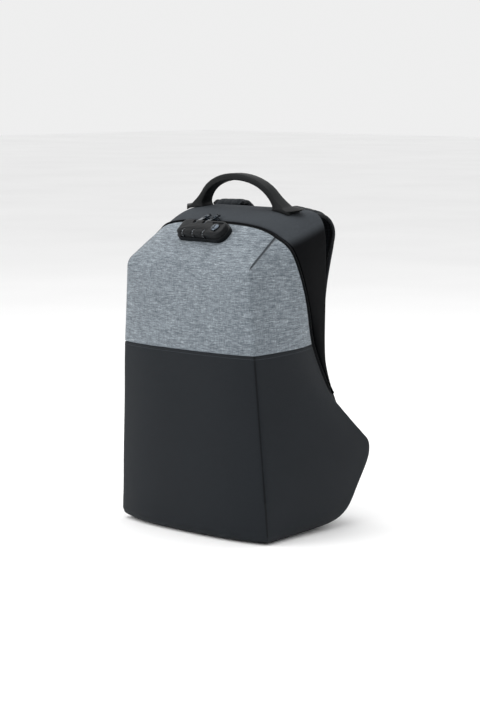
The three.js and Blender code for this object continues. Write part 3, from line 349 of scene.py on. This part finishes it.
def cloth_finish(name, deep, light, pitch, roughness, sheen):
    finish = Finish(name, roughness=roughness, specular=0.1, sheen=sheen)
    across = abs(finish.x) + finish.y
    weave = plain_weave(finish, across, finish.z, pitch)
    broad = finish.grain(finish.place, 9.0, 3.0)
    slub = finish.grain(finish.stretched(160.0, 160.0, 900.0), 1.0, 2.0)
    mix = weave * 0.3 + broad * 0.35 + slub * 0.35
    finish.colour(finish.tint(mix.step(0.2, 0.85), shade(deep), shade(light)))
    finish.rough(roughness - 0.1 + broad * 0.2)
    finish.relief(weave + slub * 0.5, 0.00012, 0.8)
    return finish.material


def melange_finish():
    finish = Finish("grey_melange_cloth", roughness=0.85, specular=0.25, sheen=0.15)
    across = abs(finish.x) + finish.y
    weave = plain_weave(finish, across, finish.z, 0.00055)
    weft = finish.grain(finish.stretched(85.0, 85.0, 700.0), 1.0, 2.0, 0.6)
    warp = finish.grain(finish.stretched(620.0, 620.0, 130.0), 1.0, 2.0, 0.6)
    fine = finish.grain(finish.stretched(300.0, 300.0, 1500.0), 1.0, 1.0, 0.5)
    broad = finish.grain(finish.place, 14.0, 2.0)
    flecks = weft * 0.5 + warp * 0.25 + fine * 0.25 + (broad - 0.5) * 0.06 + (weave - 0.5) * 0.05
    body = finish.node(
        "ValToRGB",
        {
            "stops": [
                (0.32, shade("#3a4147")),
                (0.43, shade("#5d656c")),
                (0.51, shade("#717980")),
                (0.59, shade("#848d93")),
                (0.70, shade("#b0b7bc")),
            ]
        },
        {0: flecks},
    )
    # Painted shade: the dart's groove is darkened toward #23292f, and the panel is darkened toward #58616a
    # along its lower edge by the seam; the stitches beside the dart are lighter thread
    seam = dart_distance(finish)
    dart_fold_shade = 1 - seam.step(0.0006, 0.0024)
    stitches = (abs(seam - 0.0032) < 0.00035) * (finish.y.wave(0.0034) > -0.2)
    edge = 1 - finish.z.step(0.2632, 0.2650)
    shadowed = finish.tint(dart_fold_shade * 0.92, body, shade("#23292f"))
    shadowed = finish.tint(edge * 0.35, shadowed, shade("#58616a"))
    shadowed = finish.tint(stitches * 0.45, shadowed, shade("#6d767e"))
    finish.colour(shadowed)
    finish.rough(0.74 + flecks * 0.25)
    puckers = across.wave(0.021) * (1 - finish.z.step(0.263, 0.272)) * 0.8
    finish.relief(weave * 0.5 + flecks * 1.2 - dart_fold_shade * 16.0 - stitches * 1.5 + puckers, 0.0002, 0.9)
    return finish


def dart_distance(finish):
    foot = Vector(DART_FOOT)
    along = Vector(DART_TOP) - foot
    at = finish.vector(abs(finish.x), finish.y, finish.z)
    away = finish.node("VectorMath", {"operation": "SUBTRACT"}, {0: at, 1: tuple(foot)})
    run = finish.node("VectorMath", {"operation": "DOT_PRODUCT"}, {0: away, 1: tuple(along)}, out=1)
    share = finish.node("Clamp", None, {0: run / along.length_squared, 1: 0.0, 2: 1.0})
    base = finish.node("VectorMath", {"operation": "SCALE"}, {0: tuple(along), "Scale": share})
    return finish.node("VectorMath", {"operation": "DISTANCE"}, {0: away, 1: base}, out=1)


def dark_shell_finish():
    finish = Finish("dark_shell_cloth", roughness=0.7, specular=0.12, sheen=0.02)
    across = abs(finish.x) + finish.y
    weave = plain_weave(finish, across, finish.z, 0.00045)
    broad = finish.grain(finish.place, 7.0, 3.0)
    slub = finish.grain(finish.stretched(140.0, 140.0, 1100.0), 1.0, 2.0)
    mix = weave * 0.25 + broad * 0.45 + slub * 0.3
    base = finish.tint(mix.step(0.2, 0.85), shade("#171a1e"), shade("#1f2327"))
    top = (finish.z - finish.y.step(-0.10, 0.02) * 0.0055)
    stitch_row = (abs(top - STITCH_HEIGHT) < 0.0004) * (across.wave(0.0036) > -0.3)
    floor_wear = (1 - finish.z.step(0.0, 0.022)) * finish.grain(finish.place, 70.0, 4.0).step(0.45, 0.7)
    crease_x = abs(finish.x) - (0.1468 - finish.z * 0.0668)
    crease_y = finish.y + (0.1000 + finish.z * 0.0366)
    crease_seam = 1 - (crease_x * crease_x + crease_y * crease_y).maths("SQRT").step(0.0007, 0.0021)
    worn = finish.tint(floor_wear * 0.2, base, shade("#3a3f44"))
    worn = finish.tint(crease_seam * 0.75, worn, shade("#090a0c"))
    finish.colour(finish.tint(stitch_row * 0.6, worn, shade("#41474d")))
    finish.rough(0.62 + broad * 0.14 + floor_wear * 0.1)
    channel = 1 - abs(top - STITCH_HEIGHT).step(0.0003, 0.0016)
    height = weave * 0.6 + slub * 0.5 - channel * 3.0 + stitch_row * 3.5 - crease_seam * 4.0
    finish.relief(height, 0.00013, 0.8)
    return finish


def gusset_finish():
    finish = Finish("gusset_cloth", roughness=0.8, specular=0.05, sheen=0.0)
    across = finish.y
    up = abs(finish.x) + finish.z
    weave = plain_weave(finish, across, up, 0.0005)
    broad = finish.grain(finish.place, 11.0, 3.0)
    slub = finish.grain(finish.stretched(500.0, 140.0, 500.0), 1.0, 2.0)
    mix = weave * 0.3 + broad * 0.4 + slub * 0.3
    # Painted light and shade: the gusset's roof is painted lighter and its side below the shoulder near
    # black, where the surface turns down away from the light
    lit_roof_tone = finish.tint(mix.step(0.2, 0.85), shade("#33363a"), shade("#43474b"))
    side = finish.tint(mix.step(0.2, 0.85), shade("#020304"), shade("#08090c"))
    turn = finish.z - (finish.y + 0.044) * 0.25
    finish.colour(finish.tint(turn.step(0.404, 0.419), side, lit_roof_tone))
    finish.rough(0.65 + broad * 0.2)
    finish.relief(weave + slub * 0.6, 0.00013, 0.8)
    return finish


def spacer_mesh_finish(name, deep, light):
    finish = Finish(name, roughness=0.85, specular=0.05, sheen=0.0)
    at = finish.vector(finish.x, 0.0, finish.z)
    cells = finish.node(
        "TexVoronoi",
        {"feature": "DISTANCE_TO_EDGE"},
        {"Vector": at, "Scale": 230.0, "Randomness": 0.1},
    )
    rim = 1 - cells.step(0.05, 0.3)
    threads = abs((abs(finish.x) + finish.z).wave(0.0009)) * 0.4
    broad = finish.grain(finish.place, 16.0, 3.0)
    finish.colour(finish.tint((rim * 0.7 + broad * 0.3).step(0.1, 0.9), shade(deep), shade(light)))
    finish.rough(0.78 + broad * 0.14)
    finish.relief(rim + threads * 0.5, 0.0003, 0.6)
    return finish


def ribbon_finish(name, deep, light):
    finish = Finish(name, roughness=0.6, specular=0.15, sheen=0.04)
    across = finish.x
    rows = finish.z - finish.y
    zigzag = (rows + abs(across.wave(0.0052)) * 0.0007).wave(0.0017)
    ribs = across.wave(0.0026)
    fuzz = finish.grain(finish.place, 800.0, 2.0)
    height = zigzag * 0.5 + ribs * 0.3 + fuzz * 0.4
    finish.colour(finish.tint((height + 0.5).step(0.0, 1.3), shade(deep), shade(light)))
    finish.rough(0.5 + fuzz * 0.2)
    finish.relief(height, 0.00025, 0.9)
    return finish


def moulded_finish(name, deep, light, roughness):
    finish = Finish(name, roughness=roughness, specular=0.14)
    pebbles = finish.node(
        "TexVoronoi",
        {"feature": "SMOOTH_F1"},
        {"Vector": finish.place, "Scale": PEBBLES_PER_METRE},
    )
    broad = finish.grain(finish.place, 30.0, 3.0)
    rubbed = finish.grain(finish.place, 150.0, 4.0, 0.7)
    finish.colour(finish.tint((broad * 0.6 + rubbed * 0.4).step(0.3, 0.7), shade(deep), shade(light)))
    finish.rough(roughness - 0.08 + broad * 0.1 + rubbed * 0.08)
    finish.relief(pebbles + rubbed * 0.4, PEBBLE_DEPTH, 0.7)
    return finish


def plated_finish(name, deep, light, roughness):
    finish = Finish(name, roughness=roughness, metallic=1.0, specular=0.5)
    brushed = finish.grain(finish.stretched(1200.0, 160.0, 160.0), 1.0, 3.0)
    broad = finish.grain(finish.place, 40.0, 2.0)
    finish.colour(finish.tint((brushed * 0.6 + broad * 0.4).step(0.25, 0.75), shade(deep), shade(light)))
    finish.rough(roughness - 0.06 + brushed * 0.14)
    finish.relief(brushed, 0.00002, 0.5)
    return finish


melange = melange_finish().material
dark_shell = dark_shell_finish().material
gusset_cloth = gusset_finish().material
back_mesh = spacer_mesh_finish("back_spacer_mesh", "#0f1114", "#2d3136").material
# Painted shade: the strap's inner spacer mesh is the same black mesh as the back, painted darker still for
# the shade under the strap
shaded_strap_mesh = spacer_mesh_finish("strap_inner_mesh_painted_shade", "#030405", "#0f1114").material
strap_face_cloth = cloth_finish("strap_face_cloth", "#15181b", "#24282c", 0.0006, 0.75, 0.05)
binding_cloth = ribbon_finish("binding_tape", "#0c0d10", "#1d2024").material
webbing_cloth = ribbon_finish("webbing_weave", "#0d0f12", "#1f2327").material
zip_tape_cloth = ribbon_finish("zip_tape_weave", "#050608", "#0d0f13").material
coil_nylon = moulded_finish("coil_nylon", "#08090c", "#121519", 0.4).material
handle_polymer = moulded_finish("handle_polymer", "#0b0d0e", "#141617", 0.48).material
buckle_polymer = moulded_finish("buckle_polymer", "#121415", "#1c1e20", 0.45).material
lock_polymer = moulded_finish("lock_polymer", "#080a0c", "#0f1215", 0.34).material
dial_polymer = moulded_finish("dial_polymer", "#050608", "#0c0e11", 0.3).material
numeral_paint = moulded_finish("numeral_paint", "#7d848a", "#9aa1a7", 0.5).material
pull_plating = plated_finish("pull_plating", "#3d444c", "#656d76", 0.15).material
key_plating = plated_finish("key_plating", "#343a41", "#5a6169", 0.25).material


# Camera at the photograph's angle
def photo_camera():
    azimuth, pitch = math.radians(44.0), math.radians(7.5432)
    right = Vector((math.cos(azimuth), math.sin(azimuth), 0.0))
    level = math.cos(pitch)
    forward = Vector((-math.sin(azimuth) * level, math.cos(azimuth) * level, -math.sin(pitch)))
    up = right.cross(forward)
    data = bpy.data.cameras.new("photo_camera")
    data.sensor_fit = "VERTICAL"
    data.sensor_height = 36.0
    data.lens = 109.12
    data.clip_end = 50.0
    camera = bpy.data.objects.new("photo_camera", data)
    bpy.context.scene.collection.objects.link(camera)
    turn = Matrix((right, up, -forward)).transposed().to_4x4()
    camera.matrix_world = Matrix.Translation((2.16134, -2.24224, 0.64799)) @ turn
    bpy.context.scene.camera = camera


photo_camera()


# Cloth wraps
def soften(piece, size, amount, seed, guard):
    normals = [vertex.normal.copy() for vertex in piece.data.vertices]
    for vertex, normal in zip(piece.data.vertices, normals):
        at = vertex.co / size + Vector((seed, seed * 0.7, seed * 1.3))
        vertex.co += normal * noise.noise(at) * amount * guard(vertex.co)
    piece.data.update()


def away_from_hems(at):
    return min(max((at.z - 0.02) / 0.04, 0), max((0.25 - at.z) / 0.03, 0), 1)


def on_front_corner(at):
    return at.y < -0.085 and abs(at.x) > 0.12


def on_roof_corner(at):
    return at.z > 0.383 and abs(at.x) > 0.112 and at.y < -0.05


def lower_wrap():
    piece = node_copy("lower_shell", "lower_wrap")
    crease(piece, 14, 0.93, lambda edge: all(on_front_corner(vertex.co) for vertex in edge.verts))
    crease(piece, 55, 0.85)
    subdivide(piece, 2)
    soften(piece, 0.09, 0.0009, 3.0, away_from_hems)
    smooth(piece, 60)
    finish_piece(piece, dark_shell, nodes=["lower_shell"])
    return piece


def upper_wrap():
    piece = node_copy("upper_shell", "upper_wrap")
    crease(piece, 12, 0.55, lambda edge: all(on_roof_corner(vertex.co) for vertex in edge.verts))
    crease(piece, 55, 0.85)
    subdivide(piece, 2)
    soften(piece, 0.07, 0.0008, 9.0, lambda p: min(max((p.z - 0.268) / 0.03, 0), 1))
    smooth(piece, 60)
    finish_piece(piece, melange, nodes=["upper_shell"])
    return piece


def gusset_wrap():
    piece = node_copy("rear_gusset", "gusset_wrap")
    crease(piece, 55, 0.8)
    subdivide(piece, 2)
    smooth(piece, 60)
    finish_piece(piece, gusset_cloth, nodes=["rear_gusset"])
    return piece


def base_cloth():
    piece = node_copy("floor_plate", "base_cloth")
    modify(piece, "BEVEL", width=0.0008, segments=2, limit_method="ANGLE", angle_limit=math.radians(50))
    smooth(piece, 50)
    finish_piece(piece, dark_shell, nodes=["floor_plate"])
    return piece


lower_wrap()
upper_wrap()
gusset_wrap()
base_cloth()


# Stuffed pads, swollen by cloth pressure
def swell(piece, voxel, pressure, cap):
    modify(piece, "REMESH", mode="VOXEL", voxel_size=voxel)
    modify(piece, "SMOOTH", factor=0.5, iterations=8)
    before = [vertex.co.copy() for vertex in piece.data.vertices]
    only(piece)
    cloth = piece.modifiers.new("Cloth", "CLOTH")
    cloth.settings.quality = 5
    cloth.settings.mass = 0.3
    cloth.settings.use_pressure = True
    cloth.settings.uniform_pressure_force = pressure
    cloth.settings.effector_weights.gravity = 0.0
    cloth.settings.tension_stiffness = 15
    cloth.settings.compression_stiffness = 15
    cloth.settings.bending_stiffness = 0.5
    cloth.point_cache.frame_start = 1
    cloth.point_cache.frame_end = SWELL_FRAMES
    for moment in range(1, SWELL_FRAMES + 1):
        bpy.context.scene.frame_set(moment)
    bpy.ops.object.modifier_apply(modifier=cloth.name)
    bpy.context.scene.frame_set(1)
    for vertex, start in zip(piece.data.vertices, before):
        move = vertex.co - start
        limit = cap(start)
        if move.length > limit:
            vertex.co = start + move.normalized() * limit
    piece.data.update()
    modify(piece, "SMOOTH", factor=0.5, iterations=5)


def press(piece, depth_at):
    normals = [vertex.normal.copy() for vertex in piece.data.vertices]
    for vertex, normal in zip(piece.data.vertices, normals):
        vertex.co -= normal * depth_at(vertex.co, normal)
    piece.data.update()


def groove(distance, half_width):
    if distance >= half_width:
        return 0.0
    return 0.5 + 0.5 * math.cos(math.pi * distance / half_width)


BACK_CHANNEL_HEIGHTS = [0.066, 0.150, 0.232, 0.300, 0.368]
back_edge = [Vector(point) * MM for point in BACK_EDGE_HALF]


def back_half_width(height):
    for low, high in zip(back_edge, back_edge[1:]):
        if low.z <= height <= high.z:
            share = (height - low.z) / max(high.z - low.z, 1e-6)
            return low.x + (high.x - low.x) * share
    return back_edge[0].x if height < back_edge[0].z else 0.0


def back_channels(at, normal):
    if normal.y < 0.2:
        return 0.0
    inset = back_half_width(at.z) - abs(at.x)
    border = min(inset, 0.449 - at.z, at.z - 0.001)
    sewn = groove(abs(border - CHANNEL_INSET), 0.005)
    inside = 1.0 if border > CHANNEL_INSET else 0.0
    spine = groove(abs(abs(at.x) - SPINE_OFFSET), 0.005)
    rise = 0.03 * abs(at.x) / 0.12
    rows = max(groove(abs(at.z - height - rise), 0.006) for height in BACK_CHANNEL_HEIGHTS)
    rows *= 1.0 if abs(at.x) > SPINE_OFFSET else 0.0
    return CHANNEL_DEPTH * max(sewn, inside * spine, inside * rows)


def back_cap(at):
    under_webbing = 0.060 < abs(at.x) < 0.104 and 0.04 < at.z < 0.20
    return 0.0007 if under_webbing else 0.0035


def back_pad():
    piece = node_copy("back_panel", "back_pad", quads=False)
    swell(piece, 0.0042, 4.0, back_cap)
    subdivide(piece, 1)
    press(piece, back_channels)
    smooth(piece, 80)
    finish_piece(piece, back_mesh, nodes=["back_panel"])
    return piece


def strap_frame(line, side, index):
    point = Vector(line[index])
    before = Vector(line[max(index - 1, 0)])
    after = Vector(line[min(index + 1, len(line) - 1)])
    along = (after - before).normalized()
    sign = 1.0 if side == "right" else -1.0
    across = Vector((sign, 0.0, -STRAP_TILT[side])).normalized()
    across = (across - along * across.dot(along)).normalized()
    return point, along, across, across.cross(along).normalized() * sign


def strap_pad(side, line):
    piece = node_copy("shoulder_strap_" + side, "strap_pad_" + side, quads=False)
    swell(piece, 0.0036, 4.0, lambda at: 0.0022 if at.z < 0.43 else 0.0008)
    subdivide(piece, 1)
    frames = [strap_frame(line, side, index) for index in range(len(line))]

    def seam(at, normal):
        point, along, across, out = min(frames, key=lambda f: (f[0] * MM - at).length)
        offset = abs((at - point * MM).dot(across))
        face = abs(normal.dot(across))
        edge = groove(abs(offset - 0.0225), 0.0035)
        middle = groove(abs(offset - 0.0075), 0.003)
        return 0.0 if face > 0.8 else 0.0018 * max(edge, middle * 0.6)

    press(piece, seam)
    smooth(piece, 80)
    finish_piece(piece, shaded_strap_mesh, nodes=["shoulder_strap_" + side])
    piece.data.materials.append(strap_face_cloth)
    for face in piece.data.polygons:
        out = min(frames, key=lambda f: (f[0] * MM - face.center).length)[3]
        face.material_index = 1 if face.normal.dot(out) > 0.15 else 0
    return piece


def strap_runner(side, line):
    frames = [strap_frame(line, side, index) for index in range(5, len(line) - 1)]
    rows = len(frames)
    bpy.ops.object.select_all(action="DESELECT")
    bpy.ops.mesh.primitive_grid_add(x_subdivisions=4, y_subdivisions=rows - 1, size=1.0)
    piece = named("strap_runner_" + side)
    for vertex in piece.data.vertices:
        row = min(rows - 1, max(0, round((vertex.co.y + 0.5) * (rows - 1))))
        point, along, across, out = frames[row]
        middle = point + out * RUNNER_RISE + across * vertex.co.x * RUNNER_WIDTH
        vertex.co = middle * MM
    modify(piece, "SOLIDIFY", thickness=0.0014, offset=0.0)
    in_edit(piece)
    bpy.ops.mesh.select_all(action="SELECT")
    bpy.ops.mesh.normals_make_consistent(inside=False)
    out_of_edit()
    crease(piece, 55, 0.8)
    subdivide(piece, 2)
    smooth(piece, 50)
    finish_piece(piece, webbing_cloth)
    length = sum((b[0] - a[0]).length for a, b in zip(frames, frames[1:])) * MM
    return piece


def strap_binding(side, line):
    frames = [strap_frame(line, side, index) for index in range(len(line))]
    out = [point + across * (STRAP_HALF_WIDTH - 0.2) for point, along, across, up in frames]
    back = [point - across * (STRAP_HALF_WIDTH - 0.2) for point, along, across, up in reversed(frames)]
    loop = out[1:] + back[:-1]
    piece = tube("strap_binding_" + side, loop, BINDING_RADIUS)
    finish_piece(piece, binding_cloth)
    return piece


back_pad()
strap_pad("right", STRAP_RIGHT)
strap_pad("left", STRAP_LEFT)
strap_runner("right", STRAP_RIGHT)
strap_runner("left", STRAP_LEFT)
strap_binding("right", STRAP_RIGHT)
strap_binding("left", STRAP_LEFT)


def back_piping():
    other = [(-x, y, z) for x, y, z in reversed(BACK_EDGE_HALF[:-1])]
    piece = tube("back_piping", BACK_EDGE_HALF + other, PIPING_RADIUS)
    finish_piece(piece, binding_cloth)
    return piece


back_piping()


# Webbing and its adjusters
def webbing_strip(side):
    piece = node_copy("strap_webbing_" + side, "webbing_strip_" + side)
    crease(piece, 40, 0.6)
    subdivide(piece, 2)
    smooth(piece, 50)
    finish_piece(piece, webbing_cloth, nodes=["strap_webbing_" + side])
    return piece


def adjuster_buckle(side):
    piece = node_copy("strap_adjuster_" + side, "adjuster_buckle_" + side)
    modify(piece, "BEVEL", width=0.0007, segments=3, limit_method="ANGLE", angle_limit=math.radians(35))
    smooth(piece, 40)
    finish_piece(piece, buckle_polymer, nodes=["strap_adjuster_" + side])
    return piece


for strap_side in ("right", "left"):
    webbing_strip(strap_side)
    adjuster_buckle(strap_side)


# Zip: tape, coil, sliders and pulls
def whole_zip():
    other = [(-x, y, z) for x, y, z in reversed(ZIP_HALF[:-1])]
    return ZIP_HALF + other


def zip_tape():
    piece = node_copy("zip_chain", "zip_tape")
    subdivide(piece, 1)
    smooth(piece, 45)
    finish_piece(piece, zip_tape_cloth, nodes=["zip_chain"])
    return piece


def zip_coil():
    path = curve_line("zip_path", whole_zip())
    bpy.ops.object.select_all(action="DESELECT")
    bpy.ops.mesh.primitive_cube_add(size=1.0)
    tooth = named("zip_coil")
    tooth.scale = (0.0011, 0.0040, 0.0014)
    tooth.rotation_euler = (0.0, 0.0, math.radians(12))
    apply_place(tooth)
    modify(tooth, "BEVEL", width=0.00035, segments=1, limit_method="NONE")
    tooth.location = (0.0, 0.0, -0.0001)
    apply_place(tooth)
    modify(tooth, "ARRAY", fit_type="FIT_CURVE", curve=path, use_relative_offset=False,
           use_constant_offset=True, constant_offset_displace=(TOOTH_PITCH, 0.0, 0.0))
    path.data.twist_mode = "MINIMUM"
    modify(tooth, "CURVE", object=path, deform_axis="POS_X")
    bpy.data.objects.remove(path)
    smooth(tooth, 30)
    finish_piece(tooth, coil_nylon)
    return tooth


zip_tape()
zip_coil()


def hard_copy(node, name, width, material, angle=30, body="bag", segments=2):
    piece = node_copy(node, name)
    modify(piece, "BEVEL", width=width * MM, segments=segments, limit_method="ANGLE",
           angle_limit=math.radians(angle), miter_outer="MITER_ARC")
    smooth(piece, 35)
    finish_piece(piece, material, body, nodes=[node])
    return piece


for number in (1, 2):
    hard_copy("zip_slider_%d" % number, "slider_body_%d" % number, 0.5, pull_plating)
    hard_copy("zip_pull_%d" % number, "long_pull_%d" % number, 0.6, pull_plating, segments=3)


# Handle
def top_grip():
    piece = node_copy("top_handle", "top_grip")
    for vertex in piece.data.vertices:
        side = math.copysign(1.0, vertex.co.x)
        rise = (0.478 - vertex.co.z) / 0.020
        outside = (abs(vertex.co.x) - 0.0625 - 0.3 * (0.47 - vertex.co.z)) / 0.012
        if 0.0 < rise and vertex.co.z > 0.4555 and outside > 0.0:
            vertex.co.x += side * 0.010 * min(rise, 1.0) ** 2 * min(outside, 1.0)
    modify(piece, "BEVEL", width=0.0009, segments=2, limit_method="ANGLE", angle_limit=math.radians(38))
    smooth(piece, 50)
    finish_piece(piece, handle_polymer, nodes=["top_handle"])
    return piece


top_grip()


# Lock
def dial_numerals(number, place_x):
    figures = []
    for figure in range(10):
        bpy.ops.object.select_all(action="DESELECT")
        data = bpy.data.curves.new("numeral", "FONT")
        data.body = str(figure)
        data.size = 0.0032
        data.align_x = "CENTER"
        data.align_y = "CENTER"
        data.extrude = 0.00006
        data.resolution_u = 2
        text = bpy.data.objects.new("numeral", data)
        bpy.context.scene.collection.objects.link(text)
        around = math.radians(-18 + 36 * figure) + 2.1
        centre = Vector((place_x * MM, DIAL_CENTRE[0] * MM, DIAL_CENTRE[1] * MM))
        out = Vector((0.0, -math.cos(around), math.sin(around)))
        up = Vector((0.0, math.sin(around), math.cos(around)))
        turn = Matrix((Vector((1, 0, 0)), up, out)).transposed().to_4x4()
        text.matrix_world = Matrix.Translation(centre + out * NUMERAL_RADIUS) @ turn
        only(text)
        bpy.ops.object.convert(target="MESH")
        apply_place(bpy.context.view_layer.objects.active)
        figures.append(bpy.context.view_layer.objects.active)
    piece = join(figures, "dial_numerals_%d" % number)
    finish_piece(piece, numeral_paint, "dial_%d" % number)
    return piece


hard_copy("lock_body", "lock_case", 0.45, lock_polymer, angle=32)
for number, place_x in enumerate(DIAL_PLACES, 1):
    hard_copy("lock_dial_%d" % number, "number_wheel_%d" % number, 0.25, dial_polymer,
              body="dial_%d" % number)
    dial_numerals(number, place_x)
hard_copy("lock_key_cylinder", "key_barrel", 0.3, key_plating, body="key_cylinder")


# Studio
def studio():
    bpy.ops.object.select_all(action="DESELECT")
    bpy.ops.mesh.primitive_plane_add(size=30.0, location=(0.0, 0.0, -0.0003))
    floor = named("studio_floor")
    apply_place(floor)
    paper = Finish("studio_paper", roughness=0.9, specular=0.1)
    cloudy = paper.grain(paper.place, 1.5, 2.0)
    paper.colour(paper.tint(cloudy, shade("#f4f4f4"), shade("#ffffff")))
    floor.data.materials.append(paper.material)
    world = bpy.data.worlds.new("studio_world")
    bpy.context.scene.world = world
    world.use_nodes = True
    world.node_tree.nodes["Background"].inputs[0].default_value = (1.0, 1.0, 1.0, 1.0)
    world.node_tree.nodes["Background"].inputs[1].default_value = 0.86
    soft_light("roof_light", (-0.2, -0.2, 2.6), (0.0, 0.0, 0.25), 2.6, 42.0)
    soft_light("front_light", (-1.3, -2.6, 1.7), (0.0, 0.0, 0.25), 1.6, 26.0)
    soft_light("rear_light", (1.2, 2.8, 1.5), (0.0, 0.0, 0.25), 1.6, 8.0)
    bpy.context.scene.view_settings.view_transform = "Standard"


def soft_light(name, place, target, size, power):
    data = bpy.data.lights.new(name, "AREA")
    data.shape = "SQUARE"
    data.size = size
    data.energy = power
    lamp = bpy.data.objects.new(name, data)
    bpy.context.scene.collection.objects.link(lamp)
    look = Vector(target) - Vector(place)
    lamp.matrix_world = Matrix.Translation(place) @ look.to_track_quat("-Z", "Y").to_matrix().to_4x4()


studio()
